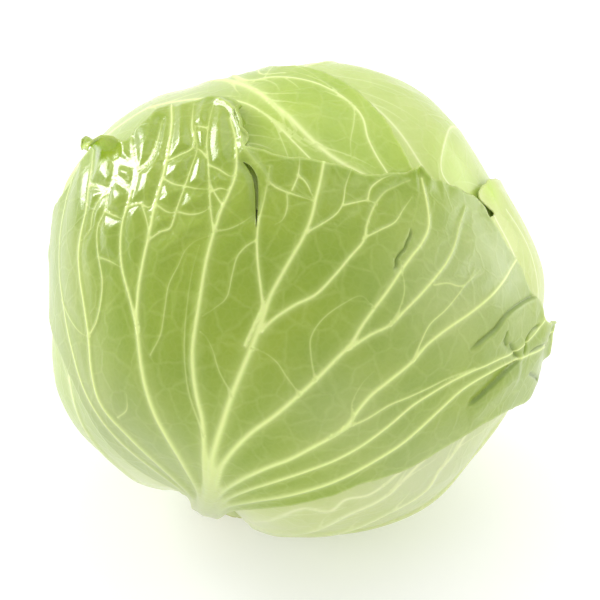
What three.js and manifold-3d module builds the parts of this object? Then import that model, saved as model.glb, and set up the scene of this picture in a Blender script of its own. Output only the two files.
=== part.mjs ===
// Green cabbage head, cut from its stalk and lying on the table.
// Millimetres, +Z up. The origin is the middle of the small flat spot that the head rests on.
// The head is a dense heart on a stalk core, with broad wrapper leaves folded over it one on the other.
// A place on the head is a direction from the head's middle. It is read either from the front view, as a
// pixel of the 600 x 600 photograph, or as a turn about the stalk and an angle away from it.

import * as THREE from 'three';
import { mergeVertices } from 'three/addons/utils/BufferGeometryUtils.js';
import Module from 'manifold-3d';

// Driving dimensions
const HEAD_WIDTH = 178;             // widest, across the front view
const PHOTO_WIDTH = 505;            // the same width in the photograph, pixels
const DEPTH_RADIUS = 84;            // head radius towards and away from the viewer
// Head radius in the front view, every 30 degrees from the right, upwards
const OUTLINE_RADII = [87, 81.8, 85, 84.6, 87.2, 93.2, 89.2, 92.4, 81.4, 82.5, 84.6, 85.8];
const VIEW_RISE = 32;               // the viewer looks down by this many degrees
const VIEW_DISTANCE = 900;          // from the viewer to the head's middle
const PHOTO_MIDDLE = [300, 300];    // the head's middle in the photograph, pixels
const REST_CUT = 2.5;               // how much the head's own weight flattens where it rests
const STALK_IN_VIEW = [-0.40, -0.90, -0.17]; // the stalk's way out: right, up and towards the viewer

const BLADE = 1.25;                 // leaf thickness in its middle
const BLADE_MARGIN = 0.8;           // and at its margin
const LAYER_GAP = 0.95;             // clear space between two leaves
const FACET = 11;                   // facets are no wider than this
const COVER_SPREAD = 24;            // an outer leaf holds the inner ones down this far past its margin
const COVER_LAP = 1.5;              // and fully this far past it
const LEAF_ROOT = 12.5;             // degrees from the stalk's axis to where leaves spring from it
const LEAF_STALK = 2.2;             // how much thicker a leaf is at its root
const RIB_AT_MARGIN = 0.12;         // share of a rib's height that is left at the margin
const STRONG_RIB = 2;               // ribs from this height up have flanks of their own
const FOLD_STEP = 1.4;              // how far a folded part of a leaf stands off the rest
const SWELL = 0.05;                 // how much a leaf bulges between ribs, per mm of their distance
const SWELL_MOST = 1;

const STALK_RADIUS = 15.6;
const STALK_SUNK = 2;               // the cut face lies this far inside the head's outside
const STALK_CORE_DEPTH = 62;        // how far the stalk's core runs into the heart
const STALK_CORE_TIP = 4;           // radius of the core's end
// The core between its ends: [depth below the cut face, share of the stalk's radius]
const STALK_CORE = [[9, 1], [22, 0.8], [42, 0.55]];
const STALK_SIDES = 24;
const FIT_GAP = 0.4;                // clear space round the stalk in the heart

const HEART_LAPS = 5;               // its outer leaves, which lap round it
const HEART_STEP = 0.9;             // the step at each lap
const HEART_FINENESS = 7;           // subdivisions of its mesh

const RAD = Math.PI / 180;
const PIXELS_PER_MM = PHOTO_WIDTH / HEAD_WIDTH;

// The view

const RIGHT = new THREE.Vector3(1, 0, 0);
const UP = new THREE.Vector3(0, Math.sin(VIEW_RISE * RAD), Math.cos(VIEW_RISE * RAD));
const TOWARDS = new THREE.Vector3(0, -Math.cos(VIEW_RISE * RAD), Math.sin(VIEW_RISE * RAD));

function inView(across, up, towards) {
  return new THREE.Vector3()
    .addScaledVector(RIGHT, across)
    .addScaledVector(UP, up)
    .addScaledVector(TOWARDS, towards);
}

// Outline radius at an angle in the front view, by a smooth closed curve through the radii
function outlineRadius(angle) {
  const count = OUTLINE_RADII.length;
  const place = ((angle / (2 * Math.PI)) * count + count) % count;
  const first = Math.floor(place);
  const f = place - first;
  const [a, b, c, d] = [-1, 0, 1, 2].map((k) => OUTLINE_RADII[(first + k + count) % count]);
  const bend = (2 * a - 5 * b + 4 * c - d) * f * f;
  const twist = (3 * b - a - 3 * c + d) * f ** 3;
  return 0.5 * (2 * b + (c - a) * f + bend + twist);
}

// Distance from the head's middle to its outside, in direction d
function headRadius(d) {
  const across = d.dot(RIGHT);
  const up = d.dot(UP);
  const towards = d.dot(TOWARDS);
  const outline = outlineRadius(Math.atan2(up, across));
  return 1 / Math.sqrt((1 - towards * towards) / outline ** 2 + towards ** 2 / DEPTH_RADIUS ** 2);
}

const MIDDLE_HEIGHT = headRadius(new THREE.Vector3(0, 0, -1)) - REST_CUT;

// The outside, taken in by some depth and flattened where the head rests
function radiusAt(d, depth, relief = 0) {
  const free = headRadius(d) - depth + relief;
  return d.z < -0.3 ? Math.min(free, (MIDDLE_HEIGHT - depth) / -d.z) : free;
}

// Direction of the place on the head that a pixel of the photograph shows.
// A pixel outside the outline counts on round the back by the same length.
function seen(x, y) {
  const eye = TOWARDS.clone().multiplyScalar(VIEW_DISTANCE);
  const scale = PIXELS_PER_MM * VIEW_DISTANCE;
  const ray = inView((x - PHOTO_MIDDLE[0]) / scale, (PHOTO_MIDDLE[1] - y) / scale, -1).normalize();
  const nearest = -eye.dot(ray);
  const at = (s) => eye.clone().addScaledVector(ray, s);
  const outside = (s) => at(s).length() - headRadius(at(s).normalize());
  const miss = outside(nearest);
  if (miss > 0) {
    const d = at(nearest).normalize();
    const angle = miss / headRadius(d);
    return d.multiplyScalar(Math.cos(angle)).addScaledVector(ray, Math.sin(angle)).normalize();
  }
  let [near, far] = [nearest - 150, nearest];
  for (let step = 0; step < 40; step++) {
    const half = (near + far) / 2;
    if (outside(half) > 0) near = half;
    else far = half;
  }
  return at(far).normalize();
}

// Directions about the stalk's axis: turns are counted from the front leaf's midrib, to the right

const STALK = inView(...STALK_IN_VIEW).normalize();
const CROWN = STALK.clone().negate();
const FRONT_MIDRIB = [268, 300];
const TURN_START = seen(...FRONT_MIDRIB).projectOnPlane(CROWN).normalize();
const TURN_SIDE = new THREE.Vector3().crossVectors(CROWN, TURN_START);

function about(turn, angle) {
  return new THREE.Vector3()
    .addScaledVector(STALK, Math.cos(angle * RAD))
    .addScaledVector(TURN_START, Math.sin(angle * RAD) * Math.cos(turn * RAD))
    .addScaledVector(TURN_SIDE, Math.sin(angle * RAD) * Math.sin(turn * RAD));
}

// The leaves, outermost first. A leaf is a fan of lines from the stalk to its margin, listed from left to
// right. A line leaves the stalk at the turn "root". It then runs through the places of "by", each a turn
// and an angle, of "over", pixels of the photograph, and of "then", turns and angles again.
// "rib" gives a line the height and half width of a rib at its root. A line with "fold" is the edge of
// a crease that stands off, "valley" keeps a line down, and "curl" lifts its end off the head. The two
// lines with "slit" are the edges of a tear. "lifts" are swellings: the place, the height and the spread.
// "flare" is how far a leaf's margin stands off all round, and "rows" is how many rows its grid has.
// With "reach", the lines advance alike near the stalk by that length, so that a rib and the branch beside
// it stay level until they part.

const LEAVES = [
  {
    name: 'leaf_front',
    color: 0xa3b856,
    rows: 21,
    reach: 132,
    flare: 0.6,
    lines: [
      {
        root: -14,
        over: [
          [186, 500], [150, 480], [110, 450], [82, 410], [62, 365], [50, 335], [40, 305], [37, 270],
          [40, 240],
        ],
      },
      {
        root: -12, rib: [1.2, 1.2],
        over: [
          [190, 499], [158, 474], [128, 450], [100, 420], [82, 390], [70, 350], [62, 310], [57, 275],
          [57, 245], [62, 210], [72, 178],
        ],
      },
      {
        root: -10, rib: [2.2, 1.6], curl: 2,
        over: [
          [193, 498], [165, 470], [130, 437], [100, 402], [91, 370], [88, 335], [84, 305], [80, 280],
          [78, 255], [80, 235], [85, 210], [88, 185], [92, 165], [96, 145],
        ],
      },
      {
        root: -8, rib: [1.0, 1.0], curl: 2.2,
        over: [
          [196, 497], [171, 469], [138, 436], [108, 400], [98, 365], [96, 335], [100, 305], [103, 280],
          [101, 250], [103, 225], [107, 200], [112, 170], [120, 141],
        ],
      },
      {
        root: -6, rib: [1.2, 1.2],
        over: [
          [198, 496], [178, 466], [160, 440], [145, 405], [136, 370], [130, 335], [126, 300],
          [120, 270], [118, 240], [120, 215], [126, 200], [133, 178], [131, 155], [134, 130],
        ],
      },
      {
        root: -4, rib: [2.6, 1.8],
        over: [
          [200, 494], [184, 463], [170, 440], [156, 415], [146, 385], [140, 350], [137, 315],
          [139, 285], [143, 262], [149, 235], [156, 200], [163, 175], [168, 150], [172, 128],
          [174, 111],
        ],
      },
      {
        root: -2, rib: [1.0, 1.0],
        over: [
          [202, 492], [190, 455], [178, 420], [165, 380], [156, 340], [155, 300], [157, 262],
          [164, 234], [171, 222], [178, 205], [186, 183], [192, 165], [196, 148], [196, 126],
          [197, 107],
        ],
      },
      {
        root: 0, rib: [1.2, 1.2], curl: 1.6,
        over: [
          [204, 490], [199, 455], [195, 420], [188, 385], [184, 350], [186, 310], [191, 275],
          [199, 245], [207, 222], [209, 205], [208, 180], [207, 155], [209, 130], [214, 107],
        ],
      },
      {
        root: 2, rib: [2.8, 1.9], curl: 2.4,
        over: [
          [206, 489], [205, 455], [203, 420], [197, 395], [194, 375], [193, 350], [196, 325],
          [200, 300], [204, 275], [209, 250], [215, 228], [221, 210], [229, 193], [235, 178],
          [237, 160], [236, 140], [231, 120],
        ],
      },
      {
        root: 3.2, slit: 'left', curl: 1.5,
        over: [
          [208, 488], [209, 455], [212, 420], [214, 385], [219, 345], [227, 305], [238, 270],
          [251, 238], [254, 222], [254, 205], [253, 190], [249, 176], [244, 165], [243, 152],
        ],
      },
      {
        root: 3.2, slit: 'right', curl: 1.5,
        over: [
          [208, 488], [209, 455], [212, 420], [214, 385], [219, 345], [227, 305], [238, 270],
          [251, 238], [255.5, 222], [257.5, 205], [258.5, 190], [257, 178], [252, 167], [248, 153],
        ],
      },
      {
        root: 4.4, rib: [1.4, 1.3],
        over: [
          [209, 488], [213, 455], [221, 415], [232, 375], [244, 345], [254, 325], [259, 305],
          [260, 285], [258, 260], [258, 240], [260, 218], [264, 200], [268, 184], [270, 168],
          [268, 154],
        ],
      },
      {
        root: 6, rib: [3.6, 2.6],
        over: [
          [210, 487], [215, 450], [224, 420], [233, 393], [243, 368], [253, 344], [263, 318],
          [270, 297], [280, 278], [292, 257], [303, 238], [311, 219], [316, 198], [320, 182],
          [324, 161],
        ],
      },
      {
        root: 7.5, rib: [1.0, 1.0],
        over: [
          [212, 486], [221, 447], [234, 412], [247, 380], [262, 350], [276, 325], [287, 300],
          [298, 275], [310, 250], [325, 224], [338, 212], [344, 198], [347, 184], [352, 168],
        ],
      },
      {
        root: 9, rib: [2.0, 1.5],
        over: [
          [213, 486], [226, 446], [243, 408], [258, 375], [270, 345], [280, 322], [296, 306],
          [316, 294], [335, 275], [350, 257], [363, 240], [367, 224], [375, 205], [386, 192],
          [398, 186], [408, 172],
        ],
      },
      {
        root: 11, rib: [3.0, 2.1],
        over: [
          [215, 488], [226, 459], [250, 433], [276, 414], [296, 397], [316, 379], [336, 359],
          [351, 344], [362, 326], [374, 309], [389, 289], [401, 271], [412, 256], [422, 243],
          [429, 226], [427, 203], [424, 178],
        ],
      },
      {
        root: 13, rib: [1.4, 1.3],
        over: [
          [217, 491], [233, 464], [260, 440], [290, 420], [316, 400], [342, 374], [362, 350],
          [385, 328], [405, 311], [421, 293], [436, 276], [447, 260], [455, 243], [461, 225],
          [468, 208], [474, 196],
        ],
      },
      {
        root: 15, rib: [2.8, 2.0],
        over: [
          [218, 495], [240, 479], [266, 467], [290, 458], [311, 447], [330, 437], [346, 426],
          [358, 410], [371, 395], [386, 383], [413, 361], [427, 345], [447, 329], [470, 313],
          [486, 299], [502, 281], [519, 258],
        ],
      },
      {
        root: 16.5, fold: true,
        over: [
          [220, 498], [243, 484], [272, 473], [300, 464], [325, 453], [350, 440], [378, 419],
          [405, 396], [432, 377], [455, 361], [470, 349], [486, 335], [497, 323], [506, 313],
          [521, 303], [535, 295],
        ],
      },
      {
        root: 18, rib: [2.2, 1.6],
        over: [
          [222, 502], [247, 490], [278, 480], [308, 470], [335, 460], [360, 447], [385, 429],
          [411, 407], [433, 393], [455, 380], [478, 369], [500, 359], [517, 352], [531, 337],
          [541, 318],
        ],
      },
      {
        root: 20, rib: [2.4, 1.8],
        over: [
          [225, 506], [251, 501], [281, 496], [306, 490], [331, 482], [352, 473], [378, 459],
          [401, 444], [421, 427], [441, 409], [461, 391], [481, 378], [500, 368], [518, 360],
          [536, 350], [552, 331],
        ],
      },
      {
        root: 22, valley: true,
        over: [
          [228, 509], [262, 504], [295, 498], [325, 490], [355, 479], [385, 464], [412, 448],
          [440, 430], [463, 411], [480, 398], [494, 385], [507, 374], [522, 362], [537, 357],
          [548, 348],
        ],
      },
      {
        root: 24,
        over: [
          [232, 512], [268, 509], [300, 504], [335, 495], [360, 485], [387, 477], [415, 466],
          [440, 451], [457, 438], [477, 424], [500, 402], [520, 390], [545, 374],
        ],
      },
    ],
    lifts: [
      { at: [103, 148], height: 2.2, spread: 11 },
      { at: [215, 118], height: 1.6, spread: 13 },
      { at: [170, 118], height: 1.2, spread: 12 },
      { at: [262, 166], height: 1.2, spread: 9 },
      { at: [415, 176], height: 1.6, spread: 9 },
      { at: [500, 300], height: 2.2, spread: 12 },
      { at: [543, 330], height: 3.0, spread: 11 },
      { at: [520, 388], height: 1.6, spread: 11 },
    ],
  },
  {
    name: 'leaf_left',
    color: 0xc2d580,
    rows: 27,
    flare: 0.4,
    lines: [
      {
        root: -154,
        by: [[-154, 38], [-152, 66], [-148, 96], [-136, 124], [-104, 145]],
        over: [
          [263, 71], [300, 66], [337, 78], [363, 95], [385, 118], [401, 140], [414, 160], [424, 176],
        ],
      },
      {
        root: -140, rib: [1.4, 1.4],
        by: [[-141, 40], [-139, 70], [-134, 100], [-119, 128], [-88, 146]],
        over: [
          [275, 73], [305, 74], [335, 85], [358, 100], [375, 120], [386, 140], [398, 158], [412, 184],
        ],
      },
      {
        root: -124, rib: [2.4, 1.9],
        by: [[-126, 45], [-125, 80], [-116, 112], [-95, 135]],
        over: [
          [246, 77], [272, 76], [296, 78], [317, 83], [337, 92], [352, 103], [363, 117], [369, 135],
          [379, 152], [390, 168], [402, 190],
        ],
      },
      {
        root: -110, rib: [3.0, 2.6],
        by: [[-111, 45], [-107, 78], [-98, 108], [-80, 130]],
        over: [[245, 82], [280, 107], [301, 126], [325, 146], [350, 162], [371, 173], [392, 186]],
      },
      {
        root: -96, rib: [2.0, 1.7],
        by: [[-88, 42], [-84, 70], [-80, 98], [-69, 121], [-45, 136], [-18, 134], [2, 128]],
      },
      {
        root: -66, rib: [1.6, 1.5],
        by: [[-52, 36], [-54, 62], [-56, 90], [-52, 111], [-34, 126], [-2, 122]],
      },
      { root: -22, by: [[-6, 28], [-20, 52], [-32, 82], [-30, 104], [-8, 116]] },
    ],
    lifts: [{ at: [330, 72], height: 0.8, spread: 14 }],
  },
  {
    name: 'leaf_right',
    color: 0xbccf84,
    rows: 18,
    flare: 0.2,
    lines: [
      { root: 30, by: [[15, 29], [18, 52], [34, 78], [46, 104], [44, 128]] },
      {
        root: 46, rib: [1.8, 1.5],
        by: [[35, 31], [37, 46]],
        over: [[330, 515], [347, 505], [371, 499], [400, 480], [430, 450]],
        then: [[62, 108], [58, 134]],
      },
      {
        root: 62, rib: [2.2, 1.7],
        by: [[53, 33], [50, 50]],
        over: [[392, 496], [408, 483], [426, 467], [441, 454], [470, 420]],
        then: [[73, 115], [66, 138]],
      },
      {
        root: 75, rib: [2.4, 1.8],
        by: [[66, 36], [61, 54]],
        over: [[426, 491], [441, 474], [456, 459], [471, 440], [487, 422]],
        then: [[84, 110], [84, 126], [78, 138]],
      },
      {
        root: 87, rib: [3.0, 2.4],
        by: [[87, 38], [90, 65], [96, 92], [100, 114], [101, 130], [96, 141]],
      },
      { root: 102, rib: [2.2, 1.8], by: [[117, 36], [119, 60], [120, 88], [122, 114], [119, 142]] },
      { root: 119, rib: [1.8, 1.5], by: [[145, 34], [147, 52], [142, 78], [140, 102], [137, 128]] },
      { root: 138, by: [[170, 29], [173, 46], [164, 72], [159, 96], [153, 116]] },
    ],
    lifts: [],
  },
  {
    name: 'leaf_back',
    color: 0xc6d890,
    rows: 28,
    flare: 0.4,
    lines: [
      { root: 141, by: [[118, 34], [98, 58], [88, 88], [84, 112], [72, 128], [52, 134]] },
      {
        root: 150, rib: [1.8, 1.5],
        by: [[134, 38], [122, 64], [114, 92], [108, 118], [88, 138], [58, 139]],
      },
      {
        root: 161, rib: [2.4, 1.9],
        by: [[153, 42], [146, 70], [142, 100], [138, 128], [118, 153], [60, 160]],
        over: [[448, 166], [475, 197]],
      },
      {
        root: 171, rib: [3.0, 2.4],
        by: [[172, 45], [172, 78], [178, 110], [190, 138], [215, 156], [265, 162]],
        over: [[303, 62], [341, 77], [372, 96], [400, 123], [425, 155], [446, 186]],
      },
      {
        root: 179, rib: [2.2, 1.8],
        by: [
          [188, 42], [196, 72], [204, 102], [220, 130], [250, 149], [290, 155], [330, 152], [370, 142],
          [384, 134],
        ],
      },
      {
        root: 190, rib: [1.6, 1.5],
        by: [
          [204, 38], [218, 64], [226, 94], [238, 122], [262, 140], [300, 146], [335, 138], [360, 126],
        ],
      },
      {
        root: 203,
        by: [[220, 34], [236, 56], [246, 84], [255, 112], [275, 130], [305, 134], [330, 128]],
      },
    ],
    lifts: [],
  },
];

// A line as a curve of directions, with its length in mm
function lineCurve({ root, by = [], over = [], then = [] }) {
  const places = [
    about(root, LEAF_ROOT),
    ...by.map((place) => about(...place)),
    ...over.map((place) => seen(...place)),
    ...then.map((place) => about(...place)),
  ];
  const curve = new THREE.CatmullRomCurve3(places, false, 'centripetal');
  curve.arcLengthDivisions = 400;
  return { curve, length: curve.getLength() * DEPTH_RADIUS };
}

// Direction on a line at v, from 0 at the stalk to 1 at the margin
function onLine(line, reach, v) {
  const gone = reach ? v * (reach + (line.length - reach) * v * v) : v * line.length;
  return line.curve.getPointAt(Math.min(1, gone / line.length)).normalize();
}

const between = (a, b, f) => a.clone().lerp(b, f).normalize();
const smoothstep = (from, to, x) => {
  const f = Math.min(1, Math.max(0, (x - from) / (to - from)));
  return f * f * (3 - 2 * f);
};

// The columns of a leaf's grid: each strong rib has its crest and two flanks, and each space between lines
// as many middles as keep its facets narrow. A column lies between two lines, past the first one by a
// share f of the gap. On a flank the share shrinks where the gap is wide, so that the rib keeps its width.
function columnsOf(leaf) {
  const columns = [];
  const last = leaf.lines.length - 1;
  const strong = (line) => line.rib && line.rib[0] >= STRONG_RIB;
  const flankShare = (line, gap) => (strong(line) ? Math.min(0.3, line.rib[1] / gap) : 0);
  leaf.lines.forEach((line, index) => {
    columns.push({ first: index, f: () => 0, kind: 'line', line });
    if (index === last || line.slit === 'left') return;
    const next = leaf.lines[index + 1];
    const widest = Math.max(...[0.3, 0.45, 0.6, 0.75, 0.9, 1].map((v) => {
      const [a, b] = [index, index + 1].map((k) => onLine(leaf.curves[k], leaf.reach, v));
      return a.angleTo(b) * DEPTH_RADIUS;
    }));
    const flanked = strong(line) || strong(next);
    const middles = Math.max(flanked ? 1 : 0, Math.ceil(widest / FACET) - 1);
    if (strong(line)) columns.push({ first: index, f: (gap) => flankShare(line, gap), kind: 'flank' });
    for (let k = 1; k <= middles; k++) {
      const f = (gap) => {
        const [from, to] = [flankShare(line, gap), 1 - flankShare(next, gap)];
        return from + ((to - from) * k) / (middles + 1);
      };
      columns.push({ first: index, f, kind: 'middle' });
    }
    if (strong(next)) columns.push({ first: index, f: (gap) => 1 - flankShare(next, gap), kind: 'flank' });
  });
  return columns;
}

// Grid of a leaf: rows from stalk to margin, columns from left to right
function gridOf(leaf) {
  const columns = columnsOf(leaf);
  const rows = [];
  for (let row = 0; row <= leaf.rows; row++) {
    const v = row / leaf.rows;
    const onLines = leaf.curves.map((line) => onLine(line, leaf.reach, v));
    rows.push(columns.map((column) => {
      const a = onLines[column.first];
      if (column.kind === 'line') return { d: a, v, column, gap: 0 };
      const b = onLines[column.first + 1];
      const gap = Math.max(0.1, a.angleTo(b) * DEPTH_RADIUS);
      return { d: between(a, b, column.f(gap)), v, column, gap };
    }));
  }
  return rows;
}

// The outline of a leaf on the head, and how much the leaf holds down what lies under it
function outlineOf(leaf) {
  const steps = 60;
  const first = leaf.curves[0];
  const last = leaf.curves[leaf.curves.length - 1];
  const places = [];
  for (let k = 0; k < steps; k++) places.push(onLine(first, leaf.reach, k / steps));
  const ends = leaf.curves.map((line) => onLine(line, leaf.reach, 1));
  ends.slice(1).forEach((end, k) => {
    for (let f = 0; f < 1; f += 0.1) places.push(between(ends[k], end, f));
  });
  for (let k = steps; k >= 0; k--) places.push(onLine(last, leaf.reach, k / steps));
  return places;
}

// Whether direction d lies inside an outline, tested on a plane that touches the head at the leaf's middle
function insideTest(outline, middle) {
  const sideways = new THREE.Vector3(-middle.y, middle.x, 0).normalize();
  const upwards = new THREE.Vector3().crossVectors(middle, sideways);
  const flat = (d) => {
    const scale = 2 / (1.0001 + d.dot(middle));
    return [d.dot(sideways) * scale, d.dot(upwards) * scale];
  };
  const corners = outline.map(flat);
  return (d) => {
    const [x, y] = flat(d);
    let inside = false;
    corners.forEach(([xa, ya], k) => {
      const [xb, yb] = corners[(k + 1) % corners.length];
      if (ya > y !== yb > y && x < ((xb - xa) * (y - ya)) / (yb - ya) + xa) inside = !inside;
    });
    return inside;
  };
}

function coverOf(leaf) {
  const outline = outlineOf(leaf);
  const halfway = leaf.curves.map((line) => onLine(line, leaf.reach, 0.5));
  const middle = halfway.reduce((sum, d) => sum.add(d), new THREE.Vector3()).normalize();
  const inside = insideTest(outline, middle);
  return (d) => {
    if (inside(d)) return 1;
    const nearest = outline.reduce((most, place) => Math.max(most, place.dot(d)), -1);
    const away = Math.acos(Math.min(1, nearest)) * DEPTH_RADIUS;
    return 1 - smoothstep(COVER_LAP, COVER_LAP + COVER_SPREAD, away);
  };
}

LEAVES.forEach((leaf) => {
  leaf.curves = leaf.lines.map(lineCurve);
  leaf.cover = coverOf(leaf);
  leaf.lifts = leaf.lifts.map(({ at, height, spread }) => ({ d: seen(...at), height, spread }));
});

// Depth of the outer face of layer number "layer" below the head's outside, at direction d
function depthOf(layer, d) {
  return LEAVES.slice(0, layer).reduce((depth, leaf) => depth + (BLADE + LAYER_GAP) * leaf.cover(d), 0);
}

function heldDown(layer, d) {
  return LEAVES.slice(0, layer).reduce((most, leaf) => Math.max(most, leaf.cover(d)), 0);
}

// Both faces of a leaf at one place of its grid
function facesAt(leaf, layer, { d, v, column, gap }) {
  const free = 1 - heldDown(layer, d);
  const depth = depthOf(layer, d);
  const line = column.line || {};
  let lift = 0;
  leaf.lifts.forEach((bump) => {
    const away = d.angleTo(bump.d) * DEPTH_RADIUS;
    lift += bump.height * Math.exp(-((away / bump.spread) ** 2));
  });
  lift *= smoothstep(0.3, 0.8, v);
  if (line.valley) lift *= 0.2;
  if (line.fold) lift += FOLD_STEP * smoothstep(0.55, 0.85, v);
  lift += leaf.flare * smoothstep(0.85, 1, v);
  lift += (line.curl || 0) * smoothstep(0.9, 1, v);
  if (column.kind === 'middle') lift += Math.min(SWELL_MOST, SWELL * gap) * smoothstep(0.15, 0.5, v);
  let raised = LEAF_STALK * (1 - smoothstep(0.02, 0.16, v));
  if (line.rib) {
    const taper = RIB_AT_MARGIN + (1 - RIB_AT_MARGIN) * (1 - v) ** 1.3;
    raised += line.rib[0] * taper * smoothstep(0, 0.14, v);
  }
  const blade = BLADE + (BLADE_MARGIN - BLADE) * smoothstep(0.6, 1, v);
  const outer = radiusAt(d, depth, (lift + raised) * free);
  const inner = radiusAt(d, depth + blade, lift * free);
  return [outer, Math.min(inner, outer - BLADE_MARGIN)].map((radius) => placed(d, radius));
}

function placed(d, radius) {
  return d.clone().multiplyScalar(radius).add(new THREE.Vector3(0, 0, MIDDLE_HEIGHT));
}

// A closed blade from a grid: outer and inner faces split alike, and walls along every free edge.
// The slit parts the grid between its two lines, down to where they meet.
function bladeGeometry(grid, facesOf) {
  const points = [];
  const add = (place) => {
    points.push(...facesOf(place));
    return points.length / 2 - 1;
  };
  const slitColumn = grid[0].findIndex(({ column }) => column.line?.slit === 'left');
  const index = grid.map((row) => {
    const ids = row.map(() => -1);
    row.forEach((place, k) => {
      const meets = k === slitColumn + 1 && slitColumn >= 0 && row[k].d.distanceTo(row[k - 1].d) < 1e-3;
      ids[k] = meets ? ids[k - 1] : add(place);
    });
    return ids;
  });
  const sheet = [];
  for (let row = 0; row + 1 < grid.length; row++) {
    for (let k = 0; k + 1 < grid[row].length; k++) {
      if (k === slitColumn) continue;
      const [a, b] = [index[row][k], index[row][k + 1]];
      const [c, d] = [index[row + 1][k + 1], index[row + 1][k]];
      const flip = (row + k) % 2 === 0;
      sheet.push(...(flip ? [[a, b, c], [a, c, d]] : [[a, b, d], [b, c, d]]));
    }
  }
  const edges = new Map();
  sheet.forEach(([a, b, c]) => {
    [[a, b], [b, c], [c, a]].forEach(([from, to]) => edges.set(`${from} ${to}`, [from, to]));
  });
  const corners = [];
  sheet.forEach(([a, b, c]) => corners.push(2 * a, 2 * b, 2 * c, 2 * a + 1, 2 * c + 1, 2 * b + 1));
  edges.forEach(([from, to]) => {
    if (edges.has(`${to} ${from}`)) return;
    corners.push(2 * from, 2 * from + 1, 2 * to + 1, 2 * from, 2 * to + 1, 2 * to);
  });
  const geometry = new THREE.BufferGeometry().setFromPoints(points);
  geometry.setIndex(corners);
  geometry.computeVertexNormals();
  return geometry;
}

function leafMesh(leaf, layer) {
  const geometry = bladeGeometry(gridOf(leaf), (place) => facesAt(leaf, layer, place));
  const material = new THREE.MeshStandardMaterial({ color: leaf.color, roughness: 0.42, metalness: 0 });
  const mesh = new THREE.Mesh(geometry, material);
  mesh.name = leaf.name;
  return mesh;
}

// The stalk: a cut stump whose woody core runs up into the heart, turned about the stalk's axis

const CUT_FACE = headRadius(STALK) - STALK_SUNK;

// "grow" is added all round and "past" beyond the cut face, for the bore that the stalk fills
function stalkGeometry(grow = 0, past = 0) {
  const core = STALK_CORE.map(([depth, share]) => [STALK_RADIUS * share + grow, CUT_FACE - depth]);
  const outline = [
    [0, CUT_FACE + past],
    [STALK_RADIUS + grow, CUT_FACE + past],
    ...core,
    [STALK_CORE_TIP + grow, CUT_FACE - STALK_CORE_DEPTH],
    [0, CUT_FACE - STALK_CORE_DEPTH - STALK_CORE_TIP - grow],
  ];
  const profile = outline.map(([radius, along]) => new THREE.Vector2(radius, along)).reverse();
  const geometry = new THREE.LatheGeometry(profile, STALK_SIDES);
  geometry.applyQuaternion(new THREE.Quaternion().setFromUnitVectors(new THREE.Vector3(0, 1, 0), STALK));
  geometry.translate(0, 0, MIDDLE_HEIGHT);
  return geometry;
}

function stalkMesh() {
  const material = new THREE.MeshStandardMaterial({ color: 0xdfe3c0, roughness: 0.6, metalness: 0 });
  const mesh = new THREE.Mesh(stalkGeometry(), material);
  mesh.name = 'stalk';
  return mesh;
}

// The heart: the tightly packed inner leaves, one dense mass under the wrappers, with a bore for the
// stalk's core. Its own leaves lap over one another in steps that wind round it.

function heartRadius(d) {
  const turn = Math.atan2(d.dot(TURN_SIDE), d.dot(TURN_START)) / (2 * Math.PI);
  const angle = Math.acos(Math.min(1, Math.max(-1, d.dot(STALK)))) / Math.PI;
  const lap = (((turn + 0.35 * angle) * HEART_LAPS) % 1 + 1) % 1;
  const rise = smoothstep(0, 0.9, lap) * (1 - smoothstep(0.9, 1, lap));
  return radiusAt(d, depthOf(LEAVES.length, d) + HEART_STEP, HEART_STEP * rise * Math.sin(Math.PI * angle));
}

async function heartMesh() {
  const sphere = new THREE.IcosahedronGeometry(1, HEART_FINENESS);
  ['normal', 'uv'].forEach((name) => sphere.deleteAttribute(name));
  const skin = mergeVertices(sphere, 1e-4);
  const position = skin.attributes.position;
  for (let k = 0; k < position.count; k++) {
    const d = new THREE.Vector3().fromBufferAttribute(position, k).normalize();
    position.setXYZ(k, ...placed(d, heartRadius(d)).toArray());
  }
  const wasm = await Module();
  wasm.setup();
  const solid = (geometry) => {
    const bare = geometry.clone();
    ['normal', 'uv'].forEach((name) => bare.deleteAttribute(name));
    const merged = mergeVertices(bare, 1e-3);
    return new wasm.Manifold(new wasm.Mesh({
      numProp: 3,
      vertProperties: new Float32Array(merged.attributes.position.array),
      triVerts: new Uint32Array(merged.index.array),
    }));
  };
  const bored = solid(skin).subtract(solid(stalkGeometry(FIT_GAP, 2 * STALK_SUNK))).getMesh();
  const geometry = new THREE.BufferGeometry();
  geometry.setAttribute('position', new THREE.BufferAttribute(new Float32Array(bored.vertProperties), 3));
  geometry.setIndex([...bored.triVerts]);
  geometry.computeVertexNormals();
  const material = new THREE.MeshStandardMaterial({ color: 0xe3ebb8, roughness: 0.5, metalness: 0 });
  const mesh = new THREE.Mesh(geometry, material);
  mesh.name = 'heart';
  return mesh;
}

const cabbage = new THREE.Group();
cabbage.name = 'cabbage';
cabbage.add(stalkMesh(), await heartMesh(), ...LEAVES.map(leafMesh));

export default cabbage;
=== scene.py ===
import math

import bpy
import numpy as np
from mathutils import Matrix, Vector, noise
from mathutils.geometry import delaunay_2d_cdt
from mathutils.kdtree import KDTree


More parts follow.
